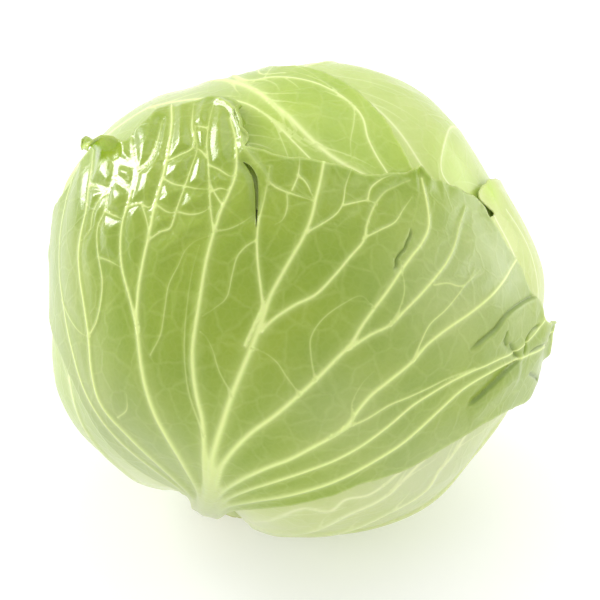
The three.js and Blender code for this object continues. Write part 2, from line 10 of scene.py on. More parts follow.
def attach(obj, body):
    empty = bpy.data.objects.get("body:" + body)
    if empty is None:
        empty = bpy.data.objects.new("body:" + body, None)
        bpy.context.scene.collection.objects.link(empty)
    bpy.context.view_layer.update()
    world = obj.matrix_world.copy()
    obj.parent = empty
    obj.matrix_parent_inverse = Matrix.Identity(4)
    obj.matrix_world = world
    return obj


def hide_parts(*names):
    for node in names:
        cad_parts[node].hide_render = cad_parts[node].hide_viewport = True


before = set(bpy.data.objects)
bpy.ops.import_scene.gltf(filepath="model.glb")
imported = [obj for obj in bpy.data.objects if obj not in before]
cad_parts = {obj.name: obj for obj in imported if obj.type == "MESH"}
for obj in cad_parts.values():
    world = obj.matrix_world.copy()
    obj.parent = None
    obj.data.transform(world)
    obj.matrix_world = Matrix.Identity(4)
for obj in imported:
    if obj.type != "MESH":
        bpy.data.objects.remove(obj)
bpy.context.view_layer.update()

# The head as a whole: one big bud, a little wider than it is deep, pressed flat where it lies.
# Every piece follows this form, so a place on any of them is a direction from the head's middle,
# taken either from the front view, as a pixel, or as a turn and an angle about the stalk.

HEAD_WIDTH = 178  # mm, as all lengths here until a mesh is made
PHOTO_WIDTH = 505  # the same width in the front view, pixels
PIXELS_PER_MM = PHOTO_WIDTH / HEAD_WIDTH
PHOTO_SIZE = 600
PHOTO_MIDDLE = (300, 300)
VIEW_RISE = math.radians(32)
VIEW_DISTANCE = 900
DEPTH_RADIUS = 84
OUTLINE_RADII = np.array([87, 81.8, 85, 84.6, 87.2, 93.2, 89.2, 92.4, 81.4, 82.5, 84.6, 85.8])
REST_CUT = 2.5
RIGHT = np.array([1.0, 0.0, 0.0])
UP = np.array([0.0, math.sin(VIEW_RISE), math.cos(VIEW_RISE)])
TOWARDS = np.array([0.0, -math.cos(VIEW_RISE), math.sin(VIEW_RISE)])


def unit(v):
    return v / np.linalg.norm(v, axis=-1, keepdims=True)


def smoothstep(low, high, x):
    f = np.clip((x - low) / (high - low), 0, 1)
    return f * f * (3 - 2 * f)


def outline_radius(angle):
    count = len(OUTLINE_RADII)
    place = (angle / (2 * np.pi) * count) % count
    first = np.floor(place).astype(int)
    f = place - first
    a, b, c, d = (OUTLINE_RADII[(first + k) % count] for k in (-1, 0, 1, 2))
    bend = (2 * a - 5 * b + 4 * c - d) * f * f
    twist = (3 * b - a - 3 * c + d) * f ** 3
    return 0.5 * (2 * b + (c - a) * f + bend + twist)


def head_radius(d):
    towards = d @ TOWARDS
    outline = outline_radius(np.arctan2(d @ UP, d @ RIGHT))
    return 1 / np.sqrt((1 - towards ** 2) / outline ** 2 + towards ** 2 / DEPTH_RADIUS ** 2)


MIDDLE_HEIGHT = float(head_radius(np.array([0.0, 0.0, -1.0]))) - REST_CUT


def seen(pixels):
    """Directions of the places that pixels show. One outside the outline counts on round the back."""
    pixels = np.array(pixels, float).reshape(-1, 2)
    across, down = (pixels - PHOTO_MIDDLE).T / (PIXELS_PER_MM * VIEW_DISTANCE)
    ray = unit(np.outer(across, RIGHT) - np.outer(down, UP) - TOWARDS)
    eye = VIEW_DISTANCE * TOWARDS
    nearest = -(ray @ eye)

    def outside(s):
        place = eye + s[:, None] * ray
        return np.linalg.norm(place, axis=1) - head_radius(unit(place))

    beside = unit(eye + nearest[:, None] * ray)
    angle = (np.maximum(outside(nearest), 0) / head_radius(beside))[:, None]
    behind = beside * np.cos(angle) + ray * np.sin(angle)
    near_end = nearest - 150
    far_end = nearest.copy()
    for _ in range(40):
        half = (near_end + far_end) / 2
        before = outside(half) > 0
        near_end = np.where(before, half, near_end)
        far_end = np.where(before, far_end, half)
    in_front = unit(eye + far_end[:, None] * ray)
    return unit(np.where(outside(nearest)[:, None] > 0, behind, in_front))


STALK = unit(-0.40 * RIGHT - 0.90 * UP - 0.17 * TOWARDS)
FRONT_MIDRIB = (268, 300)
TURN_START = seen(FRONT_MIDRIB)[0]
TURN_START = unit(TURN_START - (TURN_START @ STALK) * STALK)
TURN_SIDE = np.cross(-STALK, TURN_START)


def about(places):
    """Directions of places given as a turn about the stalk, from the front midrib, and an angle from it"""
    turn, angle = np.radians(np.array(places, float).reshape(-1, 2)).T
    across = np.outer(np.sin(angle) * np.cos(turn), TURN_START)
    across += np.outer(np.sin(angle) * np.sin(turn), TURN_SIDE)
    return np.outer(np.cos(angle), STALK) + across


def make_mesh(name, places, faces, marks=None):
    """A mesh object with smooth shading. Marks are one number for each vertex, by name."""
    mesh = bpy.data.meshes.new(name)
    mesh.from_pydata([tuple(p) for p in places], [], faces)
    mesh.shade_smooth()
    for mark, values in (marks or {}).items():
        layer = mesh.attributes.new(mark, "FLOAT", "POINT")
        layer.data.foreach_set("value", np.array(values, np.float32))
    made = bpy.data.objects.new(name, mesh)
    bpy.context.scene.collection.objects.link(made)
    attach(made, "root")
    return made


# The stalk: the stump left by the knife, with a pale pith, a woody ring and a green skin, and above it
# the core that runs up into the heart. Every leaf grows from its side.

STALK_RADIUS = 15.6
STALK_SUNK = 2
CORE_DEPTH = 62
CORE_TIP = 4
CORE = ((9, 1), (22, 0.8), (42, 0.55))  # depth below the cut face, share of the stalk's radius
CUT_FACE = float(head_radius(STALK)) - STALK_SUNK


class Wire:
    """An output of a shader node. A sum written with it adds the Math nodes for it."""

    def __init__(self, tree, socket=None):
        self.tree = tree
        self.socket = socket

    def node(self, kind, settings=None, sockets=None, out=0):
        """Adds a node: its settings first, then the values or links of its sockets"""
        made = self.tree.nodes.new(kind)
        for setting, value in (settings or {}).items():
            if setting == "stops":
                while len(made.color_ramp.elements) < len(value):
                    made.color_ramp.elements.new(0.5)
                for stop, (place, colour) in zip(made.color_ramp.elements, value):
                    stop.position = place
                    stop.color = (*colour, 1)
            else:
                setattr(made, setting, value)
        for socket, value in (sockets or {}).items():
            if isinstance(value, Wire):
                self.tree.links.new(value.socket, made.inputs[socket])
            elif hasattr(value, "__len__") and made.inputs[socket].type == "RGBA":
                made.inputs[socket].default_value = (*value, 1)
            else:
                made.inputs[socket].default_value = value
        return Wire(self.tree, made.outputs[out])

    def math(self, operation, first, second=0.0, clamp=False):
        settings = {"operation": operation, "use_clamp": clamp}
        return self.node("ShaderNodeMath", settings, {0: first, 1: second})

    def __add__(self, other):
        return self.math("ADD", self, other)

    def __radd__(self, other):
        return self.math("ADD", other, self)

    def __sub__(self, other):
        return self.math("SUBTRACT", self, other)

    def __rsub__(self, other):
        return self.math("SUBTRACT", other, self)

    def __mul__(self, other):
        return self.math("MULTIPLY", self, other)

    def __rmul__(self, other):
        return self.math("MULTIPLY", other, self)

    def vector(self, operation, first, second, third=(0.0, 0.0, 0.0)):
        return self.node("ShaderNodeVectorMath", {"operation": operation}, {0: first, 1: second, 2: third})

    def clipped(self):
        return self.math("ADD", self, 0.0, clamp=True)

    def mark(self, name):
        """A number that the mesh carries on its vertices"""
        return self.node("ShaderNodeAttribute", {"attribute_name": name}, out="Fac")

    def noise(self, size, detail=3.0, roughness=0.55, distortion=0.0):
        """Cloudy noise from 0 to 1 over the object, with lumps of some size in mm"""
        sockets = {"Scale": 1000 / size, "Detail": detail, "Roughness": roughness, "Distortion": distortion}
        sockets["Vector"] = self.node("ShaderNodeTexCoord", out="Object")
        return self.node("ShaderNodeTexNoise", {}, sockets)

    def blend(self, share, first, second):
        """One colour going over to another"""
        sockets = {"Factor": share, "A": first, "B": second}
        mixed = self.tree.nodes.new("ShaderNodeMix")
        mixed.data_type = "RGBA"
        places = {"Factor": 0, "A": 6, "B": 7}
        for socket, value in sockets.items():
            target = mixed.inputs[places[socket]]
            if isinstance(value, Wire):
                self.tree.links.new(value.socket, target)
            elif socket == "Factor":
                target.default_value = value
            else:
                target.default_value = (*value, 1)
        return Wire(self.tree, mixed.outputs[2])


def colour(red, green, blue):
    """A colour as picked from a picture, turned into light"""
    return tuple(((c / 255 + 0.055) / 1.055) ** 2.4 if c > 10 else c / 3295 for c in (red, green, blue))


def start_material(name):
    """An empty material, with its surface shader and a wire to build on"""
    material = bpy.data.materials.new(name)
    material.use_nodes = True
    shader = material.node_tree.nodes["Principled BSDF"]
    return material, shader, Wire(material.node_tree)


def join(wire, shader, socket):
    wire.tree.links.new(wire.socket, shader.inputs[socket])


def stalk_mesh():
    sides = 160
    turn = np.linspace(0, 2 * np.pi, sides, endpoint=False)
    core = [(CUT_FACE - depth, STALK_RADIUS * share) for depth, share in CORE]
    core += [(CUT_FACE - CORE_DEPTH, CORE_TIP), (CUT_FACE - CORE_DEPTH - CORE_TIP, 0.2)]
    profile = [(CUT_FACE - 0.05, r) for r in np.linspace(0.2, STALK_RADIUS - 0.7, 26)]
    profile += [(CUT_FACE - 0.25, STALK_RADIUS - 0.25), (CUT_FACE - 0.8, STALK_RADIUS)]
    heights = np.linspace(CUT_FACE - 1.6, core[-1][0], 60)
    along = [h for h, _ in core][::-1]
    wide = [r for _, r in core][::-1]
    profile += [(h, np.interp(h, along, wide)) for h in heights]
    side = unit(np.cross(STALK, RIGHT))
    other = np.cross(STALK, side)
    places = []
    cut = []
    ring = []
    for height, radius in profile:
        wave = 1 + 0.012 * np.sin(5 * turn + 1) + 0.008 * np.sin(13 * turn + height)
        saw = 0.12 * np.sin(radius * np.cos(turn) * 2.1 + np.sin(radius * np.sin(turn) * 0.6))
        lift = saw if height > CUT_FACE - 0.3 else 0 * saw
        r = radius * (wave if radius > 6 else 1)
        row = np.outer(r * np.cos(turn), side) + np.outer(r * np.sin(turn), other)
        places.append(row + np.outer(height + lift, STALK))
        cut.append(np.full(sides, float(height > CUT_FACE - 0.6)))
        ring.append(np.full(sides, min(1.0, radius / STALK_RADIUS)))
    count = len(profile)
    faces = []
    for k in range(count - 1):
        for j in range(sides):
            n = (j + 1) % sides
            faces.append((k * sides + j, (k + 1) * sides + j, (k + 1) * sides + n, k * sides + n))
    faces.append(tuple(range(sides)))
    faces.append(tuple((count - 1) * sides + j for j in reversed(range(sides))))
    places = (np.vstack(places) + [0, 0, MIDDLE_HEIGHT]) * 0.001
    marks = {"cut": np.concatenate(cut), "ring": np.concatenate(ring)}
    return make_mesh("stalk_stump", places, faces, marks)


def stalk_material():
    material, shader, w = start_material("cut_stalk")
    ring = w.mark("ring")
    cut = w.mark("cut")
    fleck = w.noise(0.9, 4.0)
    stain = w.noise(7.0)
    woody = w.node("ShaderNodeValToRGB", {"stops": [
        (0.0, colour(236, 238, 205)),
        (0.55, colour(228, 231, 188)),
        (0.72, colour(208, 212, 150)),
        (0.86, colour(222, 226, 178)),
        (1.0, colour(176, 186, 110)),
    ]}, {"Fac": ring + 0.12 * (fleck - 0.5)})
    face = w.blend(0.5 * stain, woody, colour(206, 196, 140))
    skin = w.blend(w.noise(2.5), colour(196, 208, 146), colour(226, 232, 190))
    join(w.blend(cut, skin, face), shader, "Base Color")
    join(0.5 + 0.3 * stain, shader, "Roughness")
    bump = w.node("ShaderNodeBump", {}, {"Height": fleck, "Strength": 0.35, "Distance": 0.0006})
    join(bump, shader, "Normal")
    return material


stump = stalk_mesh()
stump.data.materials.append(stalk_material())
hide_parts("stalk")

# The front leaf: the outermost one, a broad blade whose ribs fan out from its thick, pale foot.
# Its upper margin is torn and rolled outwards, and its right end is creased into pleats.

LAYER = 1.7  # how much deeper a leaf lies than the one over it
LOOSE_DEPTH = 0.9  # how far a leaf lies inside the head's outside where nothing covers it
BLADE = 0.9  # its thickness, and at the margin
BLADE_MARGIN = 0.45
LEAF_ROOT = 12.5  # degrees from the stalk's axis
LEAF_FOOT = 1.7  # how much thicker a leaf is at its foot
COVER_LAP = 1.5  # a leaf holds down what is this close to it, and less and less over the spread
COVER_SPREAD = 24
RIB_AT_MARGIN = 0.12  # how much of a rib's height is left there

leaves = []  # the leaves made so far, from the outermost inwards


def off(d, pixel):
    """Distance in mm from the place that a pixel shows"""
    return np.arccos(np.clip(d @ seen(pixel)[0], -1, 1)) * DEPTH_RADIUS


# Places where the head is less full than its plain form: a pixel, a depth and a spread in mm.
HOLLOWS = (
    ((226, 60), 4.2, 16),
    ((188, 76), 1.6, 13),
    ((66, 415), 2.4, 18),
    ((100, 462), 1.2, 14),
    ((486, 460), 4.2, 17),
    ((466, 122), 1.6, 12),
    ((206, 522), 1.6, 12),
)


def radius_at(d, depth):
    """The head's outside taken in by some depth, and flattened where it rests"""
    free = head_radius(d) - depth
    for pixel, deep, spread in HOLLOWS:
        free = free - deep * np.exp(-((off(d, pixel) / spread) ** 2))
    flat = (MIDDLE_HEIGHT - depth) / np.maximum(-d[:, 2], 0.3)
    return np.where(d[:, 2] < -0.3, np.minimum(free, flat), free)


def smooth_line(places, step=0.7):
    """A smooth curve through directions, as directions that are a step apart, in mm"""
    ends = [2 * places[0] - places[1], 2 * places[-1] - places[-2]]
    p = np.vstack([ends[:1], places, ends[1:]])
    t = np.concatenate([[0], np.cumsum(np.linalg.norm(np.diff(p, axis=0), axis=1) ** 0.5)])
    f = np.linspace(0, 1, 24, endpoint=False)[:, None]
    found = []
    for k in range(1, len(p) - 2):
        s = t[k] + f * (t[k + 1] - t[k])

        def mix(i, j, a, b):
            return ((t[j] - s) * a + (s - t[i]) * b) / (t[j] - t[i])

        one = mix(k - 1, k, p[k - 1], p[k])
        two = mix(k, k + 1, p[k], p[k + 1])
        three = mix(k + 1, k + 2, p[k + 1], p[k + 2])
        found.append(mix(k, k + 1, mix(k - 1, k + 1, one, two), mix(k, k + 2, two, three)))
    found = unit(np.vstack(found + [p[-2:-1]]))
    return spaced(found, step)


def spaced(line, step):
    """The same line with its points a step apart"""
    gone = np.concatenate([[0], np.cumsum(np.linalg.norm(np.diff(line, axis=0), axis=1))]) * DEPTH_RADIUS
    want = np.linspace(0, gone[-1], max(2, round(gone[-1] / step) + 1))
    return unit(np.stack([np.interp(want, gone, line[:, k]) for k in range(3)], 1))


def near(d, line, reach=None):
    """For each direction, its distance from a line in mm, how far along the line that is, from 0 to 1,
    and the nearest place on it. Past the reach, the distance is only some large number."""
    distance = np.full(len(d), 1e3)
    along = np.zeros(len(d))
    foot = np.tile(line[0], (len(d), 1))
    middle = unit(line.mean(0))
    span = np.arccos(np.clip(line @ middle, -1, 1)).max()
    chosen = np.arange(len(d))
    if reach is not None:
        chosen = np.flatnonzero(d @ middle > math.cos(min(np.pi, span + 1.1 * reach / DEPTH_RADIUS)))
    for part in np.array_split(chosen, max(1, len(chosen) * len(line) // 4_000_000)):
        p = d[part]
        k = np.argmax(p @ line.T, axis=1)
        best = np.full(len(part), np.inf)
        for first in (np.maximum(k - 1, 0), np.minimum(k, len(line) - 2)):
            a = line[first]
            ab = line[first + 1] - a
            f = np.clip(np.einsum("ij,ij->i", p - a, ab) / np.einsum("ij,ij->i", ab, ab), 0, 1)
            q = a + f[:, None] * ab
            away = np.linalg.norm(p - q, axis=1) * DEPTH_RADIUS
            closer = away < best
            best = np.where(closer, away, best)
            along[part] = np.where(closer, (first + f) / (len(line) - 1), along[part])
            foot[part] = np.where(closer[:, None], q, foot[part])
        distance[part] = best
    return distance, along, foot


def rough(d, size, seed):
    """Smooth noise from -1 to 1 over the head, with lumps of some size in mm"""
    shift = Vector((7.3, 3.1, 5.7)) * seed
    scale = DEPTH_RADIUS / size
    return np.array([noise.noise(Vector(p) * scale + shift) for p in d])


def path(*pixels):
    return smooth_line(seen(pixels))


def flat_map(d, middle):
    """Stereographic map about a direction: circles stay round on it, so a mesh made on it is even"""
    side = unit(np.array([-middle[1], middle[0], 0.0]))
    up = np.cross(middle, side)
    return np.stack([d @ side, d @ up], 1) * (2 / (1.0001 + d @ middle))[:, None]


def inside(d, outline, middle):
    """Whether each direction lies inside a closed outline"""
    x, y = flat_map(d, middle).T
    corners = flat_map(outline, middle)
    found = np.zeros(len(d), bool)
    for (xa, ya), (xb, yb) in zip(corners, np.roll(corners, -1, axis=0)):
        if ya != yb:
            found ^= ((ya > y) != (yb > y)) & (x < (xb - xa) * (y - ya) / (yb - ya) + xa)
    return found


def cover(d, leaf):
    """How much a leaf holds down what lies under it: fully inside its outline, and less further off"""
    away = near(d, leaf["plain_outline"])[0]
    share = 1 - smoothstep(COVER_LAP, COVER_LAP + COVER_SPREAD, away)
    return np.where(inside(d, leaf["plain_outline"], leaf["middle"]), 1.0, share)


def closed(line, step):
    return spaced(np.vstack([line, line[:1]]), step)[:-1]


def outward(outline):
    """The way out of a closed outline at each of its points, evened over some millimetres"""
    along = np.roll(outline, -2, axis=0) - np.roll(outline, 2, axis=0)
    out = unit(np.cross(along, outline))
    for _ in range(3):
        out = unit(out + np.roll(out, 1, axis=0) + np.roll(out, -1, axis=0))
    return out


def vein(line, height, width, strength=1.0):
    """A vein along a line: its height and half width, each at its start and its end"""
    return {"line": line, "height": height, "width": width, "strength": strength}


def taper(ends, share):
    return ends[1] + (ends[0] - ends[1]) * (1 - share) ** 1.3


def rib(root, height, width, by=(), over=(), then=(), end=0.3):
    """A main rib from the stalk: by and then are turns and angles, over is pixels, and end is how much of
    its width is left at the margin"""
    places = [about((root, LEAF_ROOT))]
    places += [about(by)] if by else []
    places += [seen(over)] if over else []
    places += [about(then)] if then else []
    ends = (0.8 * height, height * RIB_AT_MARGIN), (1.1 * width, end * width)
    return vein(smooth_line(np.vstack(places)), *ends)


def branch(*pixels, height=0.55, width=0.55, strength=0.7):
    return vein(smooth_line(seen(pixels)), (height, 0.4 * height), (width, 0.6 * width), strength)


def lattice(spacing):
    """Directions spread evenly over the whole head, with some distance between them in mm"""
    count = int(4 * np.pi * DEPTH_RADIUS ** 2 / spacing ** 2)
    k = np.arange(count) + 0.5
    z = 1 - 2 * k / count
    turn = k * np.pi * (3 - math.sqrt(5))
    r = np.sqrt(1 - z * z)
    return np.stack([r * np.cos(turn), r * np.sin(turn), z], 1)


def clear_of(points, taken, gap):
    """The points that lie more than a gap in mm from those already taken"""
    tree = KDTree(len(taken))
    for k, p in enumerate(taken):
        tree.insert(Vector(p), k)
    tree.balance()
    least = gap / DEPTH_RADIUS
    return np.array([p for p in points if tree.find(Vector(p))[2] > least]).reshape(-1, 3)


def beside(line, gap):
    """A line that runs beside another one, a gap in mm to its left"""
    ahead = np.gradient(line, axis=0)
    return unit(line + unit(np.cross(line, ahead)) * (gap / DEPTH_RADIUS))


def sheet(leaf, spacing, chains):
    """Directions and triangles that fill a leaf's outline. Chains are lines that get points of their own."""
    outline = leaf["outline"]
    rims = [outline] + leaf.get("holes", [])
    taken = np.vstack(rims)
    rim = []
    for loop in rims:
        start = len(rim)
        rim += [(start + k, start + (k + 1) % len(loop)) for k in range(len(loop))]
    for line in chains:
        line = spaced(line, spacing)
        line = line[inside(line, outline, leaf["middle"])]
        taken = np.vstack([taken, clear_of(line, taken, 0.4 * spacing)])
    grid = lattice(spacing)
    grid = grid[grid @ leaf["middle"] > leaf["lowest"]]
    grid = grid[inside(grid, outline, leaf["middle"])]
    points = np.vstack([taken, clear_of(grid, taken, 0.6 * spacing)])
    flat = [Vector(p) for p in flat_map(points, leaf["middle"])]
    found = delaunay_2d_cdt(flat, rim, [], 1, 1e-9, False)
    faces = np.array(found[2])
    middles = unit(points[faces].mean(axis=1))
    bridges = (faces < len(rim)).all(axis=1)
    outside = np.zeros(len(faces), bool)
    outside[bridges] = ~inside(middles[bridges], outline, leaf["middle"])
    for hole in rims[1:]:
        outside |= inside(middles, hole, leaf["middle"])
    faces = faces[~outside]
    a, b, c = (points[faces[:, k]] for k in range(3))
    inwards = np.einsum("ij,ij->i", a, np.cross(b, c)) < 0
    faces[inwards] = faces[inwards][:, ::-1]
    return points, faces


def relief(d, leaf):
    """What stands out of a leaf's outer face: its height in mm, how many half widths the nearest vein is
    off and how strong it is, and the free way to any vein in mm"""
    height = np.zeros(len(d))
    weight = np.full(len(d), 1e-12)
    strength = np.full(len(d), 1e-12)
    free = np.full(len(d), 20.0)
    for one in leaf["veins"]:
        reach = 5 * one["width"][0] + 3
        away, share, _ = near(d, one["line"], reach)
        width = taper(one["width"], share)
        tall = taper(one["height"], share)
        bump = 0.8 * np.exp(-(away / width) ** 2) + 0.2 * np.exp(-(away / (2.5 * width)) ** 2)
        height += (tall * bump) ** 6
        lost = 0.75 if one["strength"] < 1 else 0.15
        fading = one["strength"] * (1 - smoothstep(0.5, 1.0, share) * lost)
        here = np.exp(-np.minimum(away / width, 5) ** 2)
        weight += here
        strength += here * fading
        free = np.minimum(free, away)
    nearest = np.sqrt(np.maximum(-np.log(np.minimum(weight, 1)), 0))
    return height ** (1 / 6), nearest, strength / weight, free


def fold_height(d, fold):
    """A fold: the side to the left of its line stands up by a height, and sinks back further off"""
    away, share, foot = near(d, fold["line"], fold["fade"])
    k = np.clip((share * (len(fold["line"]) - 1)).astype(int), 0, len(fold["line"]) - 2)
    ahead = fold["line"][k + 1] - fold["line"][k]
    side = np.sign(np.einsum("ij,ij->i", np.cross(ahead, d - foot), d)) * away
    up = smoothstep(-0.3, 0.3, side) * (1 - smoothstep(1, fold["fade"], side))
    ends = smoothstep(0, 0.15, share) * (1 - smoothstep(0.85, 1, share))
    return fold["height"] * up * ends


def tinted(d, places):
    """How much of a tint there is: near some places, each a pixel, a spread in mm and a share"""
    found = np.zeros(len(d))
    for pixel, spread, share in places:
        found = 1 - (1 - found) * (1 - share * np.exp(-((off(d, pixel) / spread) ** 2)))
    return found


def leaf_faces(d, leaf):
    """Places on the outer and inner face of a leaf in mm from the head's middle, and marks for its colour"""
    depth = np.full(len(d), LOOSE_DEPTH)
    held = np.zeros(len(d))
    for over in leaves:
        share = cover(d, over)
        depth += LAYER * share
        held = np.maximum(held, share)
    loose = 1 - held
    ridge, nearest, strength, free = relief(d, leaf)
    edge, share, foot = near(d, leaf["outline"])
    count = len(leaf["outline"])
    k = np.round(share * (count - 1)).astype(int)
    out = leaf["outward"][k]
    from_root = (np.degrees(np.arccos(np.clip(d @ STALK, -1, 1))) - LEAF_ROOT) * math.radians(DEPTH_RADIUS)
    away_from_root = smoothstep(15, 60, from_root)
    lift = np.zeros(len(d))
    for pixel, height, spread in leaf.get("lifts", []):
        lift += height * np.exp(-((off(d, pixel) / spread) ** 2))
    crisp = leaf["crisp"](d) if "crisp" in leaf else 0 * free
    lift += (0.35 + 1.2 * crisp) * (1 - np.exp(-(free / (4.5 - 1.8 * crisp)) ** 2)) * away_from_root
    lift += 0.35 * (1 + rough(d, 22, 3 + len(leaves))) * away_from_root
    at_margin = 1 - smoothstep(1, 14, near(foot, leaf["margin"])[0])
    flare = leaf["flare"] * (0.15 + 0.85 * at_margin)
    ruffle = 1 + 1.3 * rough(foot, 9, 5) + 0.9 * rough(foot, 4, 6)
    lift += flare * ruffle * (1 - smoothstep(0, 9, edge)) * away_from_root
    for fold in leaf.get("folds", []):
        lift += fold_height(d, fold)
    # Painted shade: along each fold and groove the colour is darkened by a share, where shade falls in the
    # crease.
    crease = np.zeros(len(d))
    for one in leaf.get("folds", []) + leaf.get("grooves", []):
        away, along, _ = near(d, one["line"], 4 * one["width"])
        ends = smoothstep(0, 0.15, along) * (1 - smoothstep(0.85, 1, along))
        inside_it = np.exp(-(away / one["width"]) ** 2) * ends
        crease = np.maximum(crease, one.get("dark", 0.6) * inside_it)
        lift -= one["depth"] * inside_it
    thick = LEAF_FOOT * (1 - smoothstep(2, 24, from_root))
    blade = BLADE + (BLADE_MARGIN - BLADE) * (1 - smoothstep(0, 12, edge)) * away_from_root
    radius = radius_at(d, depth) + lift * loose
    curl = np.zeros(len(d))
    length = np.full(len(d), 5.0)
    for pixel, spread, degrees, span in leaf.get("rolls", []):
        share = 1 - smoothstep(0.6 * spread, spread, off(foot, pixel))
        stronger = math.radians(degrees) * share > curl
        curl = np.where(stronger, math.radians(degrees) * share, curl)
        length = np.where(stronger, span, length)
    curl = np.maximum(curl, 1e-4)
    rest = np.maximum(length - edge, 0)
    start = unit(d - out * (rest / DEPTH_RADIUS)[:, None])
    angle = curl * rest / length
    bend = length / curl
    along = out - np.einsum("ij,ij->i", out, start)[:, None] * start
    middle = start * radius[:, None]
    middle = middle + along * (bend * np.sin(angle))[:, None] + start * (bend * (1 - np.cos(angle)))[:, None]
    normal = start * np.cos(angle)[:, None] - along * np.sin(angle)[:, None]
    outer = middle + normal * ((ridge + thick) * loose)[:, None]
    inner = middle - normal * blade[:, None]
    marks = {
        "off_vein": nearest,
        "vein": strength,
        "crisp": crisp,
        "wax": tinted(d, leaf.get("wax", [])),
        "fresh": tinted(d, leaf.get("fresh", [])),
        "crease": crease,
        "foot": 1 - smoothstep(4, 75, from_root),
        # painted highlight along the rim: the last 1.6 mm of the margin, where light catches it
        "edge": 1 - smoothstep(0, 1.6, edge),
    }
    return outer, inner, marks


def make_leaf(name, node, leaf, spacing, material):
    """A leaf's closed blade: a fine outer face, a coarser inner one, and the margin that joins them"""
    line = np.vstack([leaf["left"], leaf["margin"], leaf["right"][::-1]])
    leaf["middle"] = unit(line.mean(0)) if leaf.get("middle") is None else leaf["middle"]
    plain = leaf.get("plain_margin", leaf["margin"])
    leaf["plain_outline"] = closed(np.vstack([leaf["left"], plain, leaf["right"][::-1]]), 2.0)
    line = closed(line, spacing)
    turned = flat_map(line, leaf["middle"])
    step = np.roll(turned, -1, axis=0)
    if np.sum(turned[:, 0] * step[:, 1] - turned[:, 1] * step[:, 0]) < 0:
        line = line[::-1]
    jag = leaf["ragged"] * (rough(line, 3.5, 11) + 0.8 * rough(line, 9, 12))
    from_root = np.arccos(np.clip(line @ STALK, -1, 1)) * DEPTH_RADIUS
    jag *= smoothstep(30, 70, from_root)
    line = unit(line + outward(line) * (jag / DEPTH_RADIUS)[:, None])
    leaf["outline"] = line
    leaf["outward"] = outward(line)
    leaf["lowest"] = (line @ leaf["middle"]).min() - 0.01
    leaf["holes"] = [closed(hole, 0.7 * spacing) for hole in leaf.get("holes", [])]
    chains = [one["line"] for one in leaf["veins"]]
    for one in leaf.get("folds", []) + leaf.get("grooves", []):
        chains += [beside(one["line"], gap) for gap in (0, -0.35, 0.35, -0.8, 0.8)]
    points, faces = sheet(leaf, spacing, chains)
    outer, _, marks = leaf_faces(points, leaf)
    back_points, back_faces = sheet(leaf, 2 * spacing, [])
    _, inner, back_marks = leaf_faces(back_points, leaf)
    start = len(points)
    rim = []
    for loop in [line] + leaf.get("holes", []):
        first = len(rim)
        for k in range(len(loop)):
            here, there = first + k, first + (k + 1) % len(loop)
            rim.append((here, start + here, start + there, there))
    every = faces.tolist() + (back_faces[:, ::-1] + start).tolist() + rim
    places = (np.vstack([outer, inner]) + [0, 0, MIDDLE_HEIGHT]) * 0.001
    places[:, 2] = np.maximum(places[:, 2], 0)  # what rests on the table is pressed flat
    marks = {key: np.concatenate([marks[key], back_marks[key]]) for key in marks}
    marks["back"] = np.concatenate([np.zeros(len(points)), np.ones(len(back_points))])
    made = make_mesh(name, places, every, marks)
    made.data.materials.append(material)
    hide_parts(node)
    leaves.append(leaf)


def crinkled(d):
    """The front leaf's upper left lobe, which is puffed out between its veins"""
    return np.exp(-((off(d, (150, 160)) / 34) ** 4))


